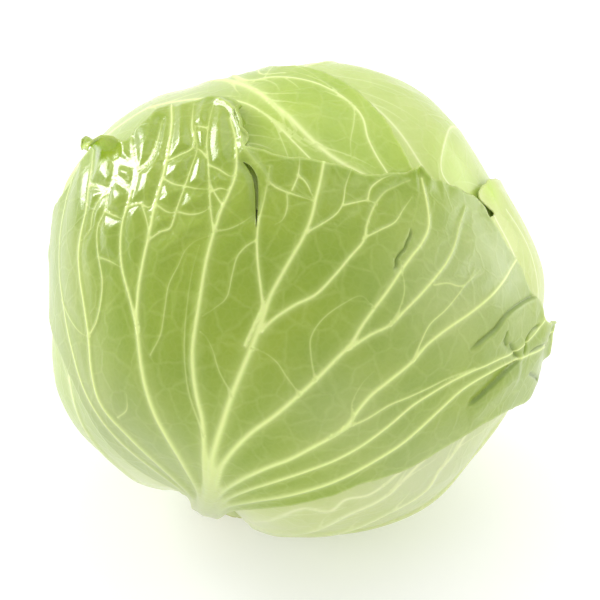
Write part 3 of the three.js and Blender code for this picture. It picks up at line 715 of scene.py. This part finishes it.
front = {
    "left": smooth_line(np.vstack([about((-7, LEAF_ROOT)), seen([
        (188, 499), (150, 480), (110, 450), (82, 410), (62, 365), (50, 335), (40, 305), (37, 270),
        (40, 240),
    ])])),
    "right": smooth_line(np.vstack([about((17, LEAF_ROOT)), seen([
        (236, 512), (268, 509), (300, 504), (335, 495), (360, 485), (387, 477), (415, 466), (440, 451),
        (460, 439), (482, 426), (506, 413), (528, 397), (545, 379),
    ])])),
    "margin": path(
        (40, 240), (52, 212), (63, 192), (74, 174), (83, 161), (90, 151), (97, 143), (106, 137), (115, 136),
        (122, 140), (126, 142), (131, 136), (141, 129), (152, 121), (160, 112), (166, 109), (172, 105),
        (180, 108), (190, 104), (200, 100), (215, 98), (228, 99), (239, 104), (246, 115), (250, 128),
        (249, 140), (246, 148), (253, 149), (263, 151), (275, 155), (290, 158), (300, 158), (315, 160),
        (326, 162), (340, 165), (352, 168),
        (365, 173), (380, 174), (392, 173), (405, 174), (415, 168), (420, 171), (427, 178), (440, 180),
        (455, 186), (470, 193), (485, 203), (492, 218), (501, 235), (512, 250), (522, 265), (527, 282),
        (535, 296), (540, 307), (541, 318), (549, 321), (553, 330), (551, 340), (552, 352), (549, 366),
        (545, 379),
    ),
    "plain_margin": seen([
        (40, 240), (63, 188), (84, 150), (104, 135), (121, 138), (152, 121), (180, 108), (215, 99),
        (234, 112),
        (244, 140), (262, 152), (300, 158), (352, 168), (392, 173), (427, 178), (470, 193), (485, 203),
        (512, 250), (527, 282), (541, 318), (552, 340), (545, 379),
    ]),
    "veins": [
        rib(-12, 1.2, 1.2, over=[
            (190, 499), (158, 474), (128, 450), (100, 420), (82, 390), (70, 350), (62, 310), (57, 275),
            (57, 245), (62, 210), (72, 178),
        ]),
        rib(-10, 2.2, 1.6, over=[
            (193, 498), (165, 470), (130, 437), (100, 402), (91, 370), (88, 335), (84, 305), (80, 280),
            (78, 255), (80, 235), (85, 210), (88, 185), (92, 165), (96, 145),
        ]),
        rib(-4, 2.6, 1.8, over=[
            (200, 494), (184, 463), (170, 440), (156, 415), (146, 385), (140, 350), (137, 315), (139, 285),
            (143, 262), (149, 235), (156, 200), (163, 175), (168, 150), (172, 128), (174, 105),
        ]),
        rib(2, 2.8, 1.9, over=[
            (206, 489), (205, 455), (203, 420), (197, 395), (194, 375), (193, 350), (196, 325), (200, 300),
            (204, 275), (209, 250), (215, 228), (221, 210), (229, 193), (235, 178), (237, 160), (236, 140),
            (231, 120),
        ]),
        rib(6, 3.6, 2.6, over=[
            (210, 487), (215, 450), (224, 420), (233, 393), (243, 368), (253, 344), (263, 318), (270, 297),
            (280, 278), (292, 257), (303, 238), (311, 219), (316, 198), (320, 182), (324, 161),
        ]),
        rib(11, 3.0, 2.1, over=[
            (215, 488), (226, 459), (250, 433), (276, 414), (296, 397), (316, 379), (336, 359), (351, 344),
            (362, 326), (374, 309), (389, 289), (401, 271), (412, 256), (422, 243), (429, 226), (427, 203),
            (420, 180),
        ]),
        rib(15, 2.8, 2.0, over=[
            (218, 495), (240, 479), (266, 467), (290, 458), (311, 447), (330, 437), (346, 426), (358, 410),
            (371, 395), (386, 383), (413, 361), (427, 345), (447, 329), (470, 313), (486, 299), (502, 281),
            (519, 258),
        ]),
        rib(18, 2.2, 1.6, over=[
            (222, 502), (247, 490), (278, 480), (308, 470), (335, 460), (360, 447), (385, 429), (411, 407),
            (433, 393), (455, 380), (478, 369), (500, 359), (517, 352), (531, 337), (541, 318),
        ]),
        rib(20, 2.4, 1.8, over=[
            (225, 506), (251, 501), (281, 496), (306, 490), (331, 482), (352, 473), (378, 459), (401, 444),
            (421, 427), (441, 409), (461, 391), (481, 378), (500, 368), (518, 360), (536, 350), (552, 331),
        ]),
        branch((89, 335), (96, 322), (101, 300), (102, 280), (97, 250), (97, 227), (104, 210), (107, 192),
               (114, 177), (116, 162), (117, 150)),
        branch((138, 330), (130, 298), (122, 268), (120, 245), (122, 222), (127, 205), (132, 188),
               (135, 172),
               (133, 155), (132, 136), height=0.9, width=0.85, strength=0.9),
        branch((135, 172), (143, 166), (150, 158), (157, 142), (163, 122), height=0.5),
        branch((104, 211), (113, 215), (122, 219), height=0.5),
        branch((98, 257), (109, 261), (121, 268), height=0.4, strength=0.5),
        branch((107, 192), (98, 200), (92, 212), (89, 230), (81, 240), height=0.4, strength=0.6),
        branch((114, 177), (123, 183), (131, 190), height=0.5),
        branch((116, 160), (125, 163), (134, 166), height=0.5),
        branch((88, 185), (97, 186), (108, 190), height=0.4),
        branch((126, 207), (139, 203), (149, 207), (158, 196), height=0.5),
        branch((141, 203), (146, 220), (149, 238), height=0.4, strength=0.6),
        branch((163, 178), (174, 184), (185, 186), (195, 188), (209, 189), height=0.5),
        branch((157, 205), (168, 212), (178, 212), height=0.4, strength=0.6),
        branch((179, 212), (190, 214), (201, 212), (211, 206), height=0.4, strength=0.6),
        branch((209, 165), (220, 170), (230, 176), (236, 176), height=0.5),
        branch((210, 192), (220, 188), (228, 190), height=0.4),
        branch((117, 418), (126, 410), (126, 395), height=0.3, strength=0.5),
        branch((149, 240), (160, 232), (170, 228), (176, 210), (185, 185), (192, 165), (197, 150),
               (196, 130)),
        branch((165, 162), (180, 155), (193, 148), (193, 125), (195, 104)),
        branch((150, 355), (160, 335), (164, 310), (168, 285), (178, 265), (185, 250), (196, 240),
               (207, 236), height=0.4,
               strength=0.35),
        branch((213, 230), (210, 205), (209, 180), (208, 160), (207, 145), (210, 125), (216, 102)),
        branch((207, 158), (200, 150), (194, 148), height=0.4),
        branch((209, 130), (196, 127), height=0.4),
        branch((222, 205), (213, 190), (209, 178), height=0.4),
        branch((245, 345), (254, 325), (262, 306), (261, 290), (258, 265), (257, 240), (259, 220),
               (264, 200),
               (268, 182), (270, 168), height=1.0, width=0.85, strength=0.95),
        branch((262, 330), (275, 318), (295, 305), (315, 295), (335, 275), (350, 257), (364, 240),
               (367, 225),
               (375, 205), (385, 192), (395, 187), (408, 182), height=1.2, width=0.95, strength=0.95),
        branch((364, 238), (380, 230), (395, 222), (403, 210), (412, 197), height=0.5),
        branch((308, 232), (325, 222), (337, 213), (343, 203), (346, 185), (352, 168), height=0.7),
        branch((343, 205), (355, 202), (368, 200), (378, 204), height=0.4),
        branch((368, 200), (371, 188), (380, 180), (392, 175), height=0.4),
        branch((268, 182), (277, 188), (287, 192), (300, 196), (313, 200), height=0.5),
        branch((292, 190), (298, 175), (300, 158), height=0.4),
        branch((298, 175), (306, 182), (313, 197), height=0.4),
        branch((287, 192), (287, 208), (282, 220), (275, 224), height=0.3, strength=0.45),
        branch((350, 348), (370, 335), (390, 325), (405, 310), (420, 295), (435, 278), (447, 262),
               (455, 245),
               (460, 225), (467, 205), height=1.1, width=0.95, strength=0.9),
        branch((315, 380), (311, 355), (311, 338), (322, 320), (345, 303), (362, 296), (374, 308),
               height=0.3,
               strength=0.35),
        branch((345, 428), (365, 420), (390, 405), (410, 397), (430, 388), (450, 378), (475, 368),
               height=0.8,
               width=0.8),
        branch((413, 361), (420, 345), (430, 325), (446, 310), (462, 290), (475, 270), height=0.5,
               strength=0.6),
        branch((204, 435), (190, 400), (184, 360), (186, 310), (191, 275), (199, 245), height=0.35,
               strength=0.3),
        branch((390, 325), (400, 308), (405, 290), (403, 272), (401, 262), height=0.3, strength=0.35),
        branch((330, 437), (352, 425), (352, 405), (362, 385), (374, 372), height=0.3, strength=0.25),
        branch((232, 395), (219, 372), (212, 350), (206, 338), (201, 332), height=0.3, strength=0.3),
        branch((300, 395), (287, 378), (276, 362), (262, 352), (251, 348), height=0.3, strength=0.3),
        branch((435, 285), (448, 283), (462, 286), (480, 270), height=0.3, strength=0.45),
        branch((256, 240), (245, 247), (237, 257), (232, 275), (226, 298), (213, 309), (203, 316),
               height=0.4,
               strength=0.45),
        branch((215, 231), (230, 228), (244, 221), (253, 214), height=0.3, strength=0.35),
        branch((60, 300), (68, 318), (78, 332), (88, 338), height=0.4, strength=0.5),
        branch((220, 103), (231, 109), (239, 121), (243, 134), (243, 146), (248, 155), (256, 165),
               (263, 173),
               (268, 182), height=2.0, width=1.5, strength=0.35),
    ],
    "lifts": [
        ((103, 148), 0.5, 11), ((215, 118), 1.2, 13), ((170, 118), 0.6, 12), ((262, 166), 0.8, 9),
        ((415, 176), 1.0, 7), ((500, 300), 1.4, 12), ((543, 330), 2.4, 11), ((532, 392), 1.9, 10),
        ((45, 280), -1.2, 22), ((445, 178), -0.7, 8), ((475, 194), -0.9, 9), ((503, 232), -0.9, 10),
        ((524, 268), -0.7, 9),
    ],
    "crisp": crinkled,
    "flare": 0.45,
    "fresh": [((106, 145), 8, 0.85)],
    # Pale patches, partly the leaf's own bloom and partly painted sheen where light washes the leaf.
    "wax": [
        ((70, 400), 26, 0.4), ((150, 460), 22, 0.35), ((505, 260), 24, 0.24), ((450, 290), 26, 0.28),
        ((430, 470), 24, 0.3), ((545, 345), 12, 0.4), ((60, 270), 20, 0.2), ((345, 415), 20, 0.2),
    ],
    "ragged": 0.35,
    "holes": [path(
        (243, 162), (248, 169), (252.5, 178), (254.6, 190), (254.9, 205), (255.2, 216), (255.8, 228),
        (256.6, 216),
        (257.4, 203), (258, 190), (257.4, 179), (254, 171), (249, 165), (243, 162),
    )[:-1]],
    # Each fold and groove carries, besides its depth, a share of painted shade that darkens its line.
    "folds": [
        {"line": path(
            (537, 294), (528, 299), (515, 306), (505, 313), (499, 320), (494, 328), (487, 335), (477, 344),
            (466, 354),
        ), "height": 1.1, "fade": 16, "depth": 0.7, "width": 0.5, "dark": 0.85},
        {"line": path((524, 357), (508, 371), (491, 387), (478, 399), (465, 409)),
         "height": 1.5, "fade": 13, "depth": 0.2, "width": 0.5, "dark": 0.9},
    ],
    "grooves": [
        {"line": path((238, 157), (246, 167), (251.5, 178), (254, 190), (255, 205), (255.5, 226)),
         "depth": 0.7, "width": 1.7, "dark": 0.4},
        {"line": path(
            (411, 226), (411, 235), (408, 241), (405, 249), (401, 253), (397, 260), (397, 266), (392, 271)),
         "depth": 0.9, "width": 0.45, "dark": 0.8},
        {"line": path((523, 358), (505, 373), (490, 388), (478, 400), (466, 410)),
         "depth": 0.7, "width": 3.0, "dark": 0.35},
        {"line": path((505, 329), (504, 337), (508, 347)), "depth": 0.7, "width": 0.5, "dark": 0.8},
        {"line": path((510, 342), (516, 351), (521, 360)), "depth": 0.7, "width": 0.5, "dark": 0.8},
        {"line": path((538, 324), (531, 331), (527, 339), (526, 348), (524, 358)),
         "depth": 0.9, "width": 0.5, "dark": 0.8},
        {"line": path((553, 331), (545, 339), (536, 347), (526, 357)),
         "depth": 0.8, "width": 0.5, "dark": 0.8},
        {"line": path((529, 373), (534, 379), (539, 384)), "depth": 0.9, "width": 0.6, "dark": 0.8},
        {"line": path((500, 338), (511, 349), (520, 358)), "depth": 0.6, "width": 1.6, "dark": 0.3},
    ],
    "rolls": [
        ((110, 139), 8.5, 215, 8), ((246, 122), 8, 150, 3.5), ((548, 335), 10, 50, 6),
        ((418, 172), 6, 60, 5),
    ],
}


COAT = 0.3


def leaf_material(name, lamina, deep, veins, foot, gleam=0.0):
    """Waxy leaf: smooth green between pale veins, with a fine net, and paler towards the foot. Gleam is how
    much more coat there is where the leaf is crinkled."""
    material, shader, w = start_material(name)
    cloud = w.noise(26, 3.0)
    patch = w.noise(9, 2.0)
    place = w.node("ShaderNodeTexCoord", out="Object")
    sway = w.node("ShaderNodeTexNoise", {},
                  {"Vector": place, "Scale": 1000 / 6, "Detail": 2.0}, out="Color")
    swayed = w.vector("MULTIPLY_ADD", sway, (0.0035, 0.0035, 0.0035), place)
    cells = w.node("ShaderNodeTexVoronoi", {"feature": "DISTANCE_TO_EDGE"},
                   {"Vector": swayed, "Scale": 1000 / 9})
    small = w.node("ShaderNodeTexVoronoi", {"feature": "DISTANCE_TO_EDGE"},
                   {"Vector": swayed, "Scale": 1000 / 2.6})
    net = (1 - cells * 11).clipped()
    fine = (1 - small * 5).clipped()
    green = w.blend((1.8 * cloud + 0.6 * patch - 0.8).clipped(), colour(*deep), colour(*lamina))
    green = w.blend(0.075 * net + 0.03 * fine, green, colour(*veins))
    away = w.mark("off_vein")
    halo = w.mark("vein") * w.math("POWER", 0.8, away * away)
    rib = w.mark("vein") * w.math("POWER", 0.07, away * away)
    green = w.blend(0.22 * halo, green, colour(*veins))
    green = w.blend(0.8 * w.math("POWER", w.mark("foot"), 3.0), green, colour(*foot))
    # partly bloom, partly painted highlight and reflection: the leaf paled towards a grey-green in patches
    green = w.blend(w.mark("wax") * (0.8 + 0.4 * cloud), green, colour(202, 210, 170))
    green = w.blend(w.mark("fresh"), green, colour(184, 212, 66))
    # painted shade: deep green along the folds and grooves, where shade falls in them
    green = w.blend(w.mark("crease") * (1.2 - 0.4 * patch), green, colour(116, 140, 44))
    pale = w.blend(w.mark("foot"), colour(*veins), colour(*foot))
    green = w.blend((0.88 - 0.6 * w.mark("foot")) * rib, green, pale)
    # painted highlight: the rim paled towards the vein colour, where light catches the margin
    green = w.blend(0.35 * w.mark("edge") * w.mark("edge"), green, colour(*veins))
    join(green, shader, "Base Color")
    join(0.3 + 0.16 * cloud - 0.3 * gleam * w.mark("crisp"), shader, "Roughness")
    crinkle = w.mark("crisp") * w.noise(2.2, 2.0)
    height = 0.4 * net + 0.12 * fine + 0.3 * w.noise(3.5, 2.0) + 0.8 * crinkle
    bump = w.node("ShaderNodeBump", {}, {"Height": height, "Strength": 0.3, "Distance": 0.0006})
    join(bump, shader, "Normal")
    shader.inputs["Subsurface Weight"].default_value = 0.15
    shader.inputs["Subsurface Radius"].default_value = (0.6, 1.0, 0.25)
    shader.inputs["Subsurface Scale"].default_value = 0.003
    shader.inputs["Coat Roughness"].default_value = 0.12
    shader.inputs["Coat Weight"].default_value = COAT
    if gleam:
        join(COAT + gleam * w.mark("crisp"), shader, "Coat Weight")
    return material


make_leaf("leaf_front_blade", "leaf_front", front, 0.66,
          leaf_material("front_leaf", (150, 171, 38), (131, 157, 25), (230, 244, 154), (193, 199, 161),
                        gleam=0.35))

# The left leaf: the next one in. It wraps the left side and the top, where two thick ribs show.
# It grows from the stalk beside the front leaf's foot and runs on under the front leaf.


def side_veins(ribs, gap, height, strength):
    """Branch veins between neighbouring ribs: each leaves its rib forwards, bends off and fades"""
    made = []
    for k, (one, other) in enumerate(zip(ribs[:-1], ribs[1:])):
        sides = ((one["line"], other["line"], 0.0), (other["line"], one["line"], 0.5))
        for near_rib, far_rib, shift in sides:
            length = len(near_rib) * 0.7
            count = int(0.7 * length / gap)
            for n in range(count):
                wobble = math.sin(7.3 * k + 4.1 * n + 9 * shift)
                start = 0.2 + 0.72 * (n + shift + 0.3 * wobble) / count
                reach = (16 + 5 * wobble) / length
                places = []
                for s in (0, 0.15, 0.4, 0.7, 1.0):
                    along = min(start + reach * s, 0.99)
                    p = near_rib[int(along * (len(near_rib) - 1))]
                    q = far_rib[int(along * (len(far_rib) - 1))]
                    share = (0.55 + 0.2 * wobble) * s ** (1.1 + 0.3 * wobble)
                    places.append(unit(p * (1 - share) + q * share))
                if start + reach < 0.97:
                    line = smooth_line(np.array(places))
                    made.append(vein(line, (height, 0.2 * height), (0.5, 0.3), strength))
    return made


left_ribs = [
    rib(-140, 1.4, 1.4, by=[(-141, 40), (-139, 70), (-134, 100), (-119, 128), (-88, 146)], over=[
        (262, 72), (285, 72)]),
    rib(-124, 2.4, 1.9, by=[(-126, 45), (-125, 80), (-116, 112), (-95, 135)], over=[
        (246, 77), (272, 76), (296, 78), (317, 83), (337, 92), (352, 103), (363, 117), (369, 135),
        (379, 152), (390, 168), (402, 190)]),
    rib(-110, 3.0, 2.6, end=0.5, by=[(-111, 45), (-107, 78), (-98, 108), (-80, 130)], over=[
        (245, 82), (280, 107), (301, 126), (325, 146), (350, 162), (371, 173), (392, 186)]),
    rib(-96, 2.0, 1.7, by=[(-88, 42), (-84, 70), (-80, 98), (-69, 121), (-45, 136), (-18, 134), (2, 128)]),
    rib(-66, 1.6, 1.5, by=[(-52, 36), (-54, 62), (-56, 90), (-52, 111), (-34, 126), (-2, 122)]),
]
left = {
    "left": smooth_line(about([(-22, LEAF_ROOT), (-6, 28), (-20, 52), (-32, 82), (-30, 104), (-8, 116)])),
    "right": smooth_line(np.vstack([
        about([(-154, LEAF_ROOT), (-154, 38), (-152, 66), (-148, 96), (-136, 124), (-106, 144)]),
        seen([(278, 65), (300, 66), (337, 78), (363, 95), (385, 118), (401, 140), (414, 160), (424, 176)]),
    ])),
    "margin": smooth_line(np.vstack([
        about([(-8, 116), (-2, 122), (2, 128)]), seen([(392, 186), (402, 190), (412, 184), (424, 176)])])),
    "veins": left_ribs + side_veins(left_ribs, 17, 0.35, 0.35),
    "lifts": [
        ((300, 66), 0.4, 12), ((253, 188), -2.5, 7),
    ],
    # Pale patches, partly bloom and partly painted highlight, brightest at the top left rim.
    "wax": [((90, 430), 40, 0.4), ((184, 84), 28, 0.7)],
    "flare": 0.15,
    "ragged": 0.5,
}
make_leaf("leaf_left_blade", "leaf_left", left, 0.8,
          leaf_material("left_leaf", (172, 195, 62), (150, 178, 42), (236, 248, 166), (226, 232, 188)))

# The right leaf: it comes up from below on the right, and the head lies on it. Its end stands off in a small
# green tongue at the right shoulder.

right_ribs = [
    rib(46, 1.8, 1.5, by=[(35, 31), (37, 46)], over=[
        (330, 515), (347, 505), (371, 499), (400, 480), (430, 450)], then=[(62, 108), (58, 134)]),
    rib(62, 2.2, 1.7, by=[(53, 33), (50, 50)], over=[
        (392, 496), (408, 483), (426, 467), (441, 454), (470, 420)], then=[(73, 115), (66, 138)]),
    rib(75, 2.4, 1.8, by=[(66, 36), (61, 54)], over=[
        (426, 491), (441, 474), (456, 459), (471, 440), (487, 422)], then=[(84, 110), (84, 126),
        (78, 138)]),
    rib(87, 3.0, 2.4, by=[(87, 38), (90, 65), (96, 92), (100, 114), (101, 130), (96, 141)]),
    rib(102, 2.2, 1.8, by=[(117, 36), (119, 60), (120, 88), (122, 114), (119, 142)]),
    rib(119, 1.8, 1.5, by=[(145, 34), (147, 52), (142, 78), (140, 102), (137, 128)]),
]
right = {
    "left": smooth_line(about([(30, LEAF_ROOT), (15, 29), (18, 52), (34, 78), (46, 104), (44, 128)])),
    "right": smooth_line(about([(138, LEAF_ROOT), (170, 29), (173, 46), (164, 72), (159, 96), (153, 116)])),
    "margin": smooth_line(np.vstack([
        about([(44, 128), (55, 132.5)]),
        seen([(500, 211), (493, 203), (486, 195.5), (484.5, 188), (487, 182), (492, 178.5)]),
        about([(103, 144.5), (112, 143.5), (122, 141), (137, 128), (153, 116)]),
    ])),
    "fresh": [((494, 190), 5.5, 1.0)],
    # Pale patches low on the leaf, partly bloom and partly painted sheen of the light from below.
    "wax": [((440, 475), 34, 0.75), ((300, 525), 24, 0.3)],
    "veins": right_ribs + side_veins(right_ribs, 17, 0.35, 0.35),
    "lifts": [((493, 194), 1.5, 5), ((470, 447), 0.8, 3), ((487, 436), 0.8, 3), ((500, 424), 0.7, 3)],
    "flare": 0.2,
    "ragged": 0.5,
}
make_leaf("leaf_right_blade", "leaf_right", right, 0.8,
          leaf_material("right_leaf", (196, 209, 114), (180, 197, 92), (230, 238, 178), (226, 232, 190)))

# The back leaf: it comes over the head from behind, and its margin shows at the top right. It grows from
# the far side of the stalk and lies under the other three.

back_ribs = [
    rib(150, 1.8, 1.5, by=[(134, 38), (122, 64), (114, 92), (108, 118), (88, 138), (58, 139)]),
    rib(161, 2.4, 1.9, by=[(153, 42), (146, 70), (142, 100), (138, 128), (118, 153), (60, 160)],
        over=[(448, 166), (475, 197)]),
    rib(171, 3.0, 2.4, by=[(172, 45), (172, 78), (178, 110), (190, 138), (215, 156), (265, 162)],
        over=[(303, 62), (341, 77), (372, 96), (400, 123), (425, 155), (446, 186)]),
    rib(179, 2.2, 1.8, by=[
        (188, 42), (196, 72), (204, 102), (220, 130), (250, 149), (290, 155), (330, 152), (370, 142),
        (384, 134)]),
    rib(190, 1.6, 1.5, by=[
        (204, 38), (218, 64), (226, 94), (238, 122), (262, 140), (300, 146), (335, 138), (360, 126)]),
]
back = {
    "middle": about((172, 88))[0],
    "left": smooth_line(about([(141, LEAF_ROOT), (118, 34), (98, 58), (88, 88), (84, 112), (72, 128),
        (52, 134)])),
    "right": smooth_line(about([
        (203, LEAF_ROOT), (220, 34), (236, 56), (246, 84), (255, 112), (275, 130), (305, 134),
        (330, 128)])),
    "margin": smooth_line(np.vstack([
        about([(52, 134), (58, 139)]), seen([(475, 197), (446, 186)]), about([(384, 134), (360, 126),
            (330, 128)])])),
    "veins": back_ribs + side_veins(back_ribs, 17, 0.35, 0.35),
    "fresh": [((466, 172), 12, 0.5)],
    "flare": 0.4,
    "ragged": 0.5,
}
make_leaf("leaf_back_blade", "leaf_back", back, 0.85,
          leaf_material("back_leaf", (194, 210, 124), (180, 200, 100), (230, 240, 174), (226, 232, 190)))

# The heart: the young leaves, pressed so tightly that they are one firm ball. The outer ones of them
# lap round it in low steps. It fills what the wrapper leaves enclose.

HEART_LAPS = 5
HEART_STEP = 0.9
HEART_GAP = 0.4


def heart_mesh():
    """A ball whose skin follows the wrapper leaves, with a bore for the stalk"""
    side = unit(np.cross(STALK, RIGHT))
    other = np.cross(STALK, side)
    wide = STALK_RADIUS + HEART_GAP
    turn = np.linspace(0, 2 * np.pi, 96, endpoint=False)
    ring = np.outer(np.cos(turn), side) + np.outer(np.sin(turn), other)
    mouth = math.asin(wide / (CUT_FACE - 6))
    leaf = {"outline": ring * math.sin(mouth) + STALK * math.cos(mouth), "middle": -STALK, "lowest": -1}
    points, faces = sheet(leaf, 1.7, [])
    depth = np.zeros(len(points))
    for over in leaves:
        depth += LAYER * cover(points, over)
    angle = np.arccos(np.clip(points @ STALK, -1, 1)) / np.pi
    around = np.arctan2(points @ TURN_SIDE, points @ TURN_START) / (2 * np.pi)
    lap = (around + 0.35 * angle) * HEART_LAPS % 1
    rise = smoothstep(0, 0.9, lap) * (1 - smoothstep(0.9, 1, lap)) * np.sin(np.pi * angle)
    wave = 0.3 * rough(points, 30, 21)
    skin = points * radius_at(points, depth + HEART_STEP * (1 - rise) + wave + 0.4)[:, None]
    rows = [skin]
    foot = np.linalg.norm(skin[0])
    inner = [(CUT_FACE - down, share) for down, share in CORE if CUT_FACE - down < foot - 8]
    profile = [(foot - 6, 1)] + inner
    profile = [(h, STALK_RADIUS * share + HEART_GAP) for h, share in profile]
    profile += [(CUT_FACE - CORE_DEPTH, CORE_TIP + HEART_GAP), (CUT_FACE - CORE_DEPTH - 5, 0.4)]
    faces = faces.tolist()
    count = len(ring)
    start = 0
    end = len(skin)
    for height, radius in profile:
        rows.append(ring * radius + STALK * height)
        for k in range(count):
            n = (k + 1) % count
            faces.append((start + n, start + k, end + k, end + n))
        start = end
        end += count
    faces.append(tuple(start + k for k in range(count)))
    marks = {"lap": np.concatenate([lap, np.zeros(end - len(skin))])}
    return make_mesh("heart_ball", (np.vstack(rows) + [0, 0, MIDDLE_HEIGHT]) * 0.001, faces, marks)


def heart_material():
    material, shader, w = start_material("heart_leaves")
    cloud = w.noise(24)
    pale = w.blend(cloud, colour(206, 222, 140), colour(228, 236, 176))
    join(pale, shader, "Base Color")
    join(0.4 + 0.2 * cloud, shader, "Roughness")
    bump = w.node("ShaderNodeBump", {}, {"Height": w.noise(3), "Strength": 0.2, "Distance": 0.0006})
    join(bump, shader, "Normal")
    return material


heart = heart_mesh()
heart.data.materials.append(heart_material())
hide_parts("heart")

# The light, the floor and the view: a studio table, white all round, with a small soft box at the
# upper left that makes the wax gleam, a large one at the right and one overhead.


def rectangle_light(name, towards, distance, size, power, aim):
    data = bpy.data.lights.new(name, "AREA")
    data.shape = "RECTANGLE"
    data.size, data.size_y = size
    data.energy = power
    lamp = bpy.data.objects.new(name, data)
    bpy.context.scene.collection.objects.link(lamp)
    spot = Vector(aim) + Vector(towards).normalized() * distance
    lamp.location = spot
    lamp.rotation_euler = (Vector(aim) - spot).to_track_quat("-Z", "Y").to_euler()
    return lamp


middle = Vector((0, 0, MIDDLE_HEIGHT * 0.001))
key_way = -0.77 * RIGHT + 0.61 * UP - 0.14 * TOWARDS
rectangle_light("softbox_left", key_way, 1.1, (0.35, 0.5), 6, middle)
right_way = 0.95 * RIGHT + 0.15 * UP - 0.28 * TOWARDS
rectangle_light("softbox_right", right_way, 1.2, (1.0, 1.0), 6, middle)
rectangle_light("overhead", (0.25, 0.3, 1.0), 1.4, (1.4, 1.2), 6, middle)

world = bpy.data.worlds.new("studio")
world.use_nodes = True
world.node_tree.nodes["Background"].inputs["Color"].default_value = (1, 1, 1, 1)
world.node_tree.nodes["Background"].inputs["Strength"].default_value = 0.89
scene = bpy.context.scene
scene.world = world
scene.view_settings.view_transform = "Standard"

floor_mesh = bpy.data.meshes.new("floor")
reach = 6.0
corners = [(-reach, -reach, 0), (reach, -reach, 0), (reach, reach, 0), (-reach, reach, 0)]
floor_mesh.from_pydata(corners, [], [(0, 1, 2, 3)])
floor = bpy.data.objects.new("floor", floor_mesh)
scene.collection.objects.link(floor)
floor_material, shader, w = start_material("pale_floor")
shader.inputs["Base Color"].default_value = (0.66, 0.66, 0.66, 1)
shader.inputs["Roughness"].default_value = 0.7
shader.inputs["Emission Color"].default_value = (1, 1, 1, 1)
shader.inputs["Emission Strength"].default_value = 0.37
floor_mesh.materials.append(floor_material)

camera_data = bpy.data.cameras.new("camera")
camera_data.sensor_width = 36
camera_data.lens = 36 * PIXELS_PER_MM * VIEW_DISTANCE / PHOTO_SIZE
camera = bpy.data.objects.new("camera", camera_data)
scene.collection.objects.link(camera)
camera.location = middle + Vector(TOWARDS) * VIEW_DISTANCE * 0.001
camera.rotation_euler = (math.pi / 2 - VIEW_RISE, 0, 0)
camera_data.clip_start = 0.01
scene.camera = camera
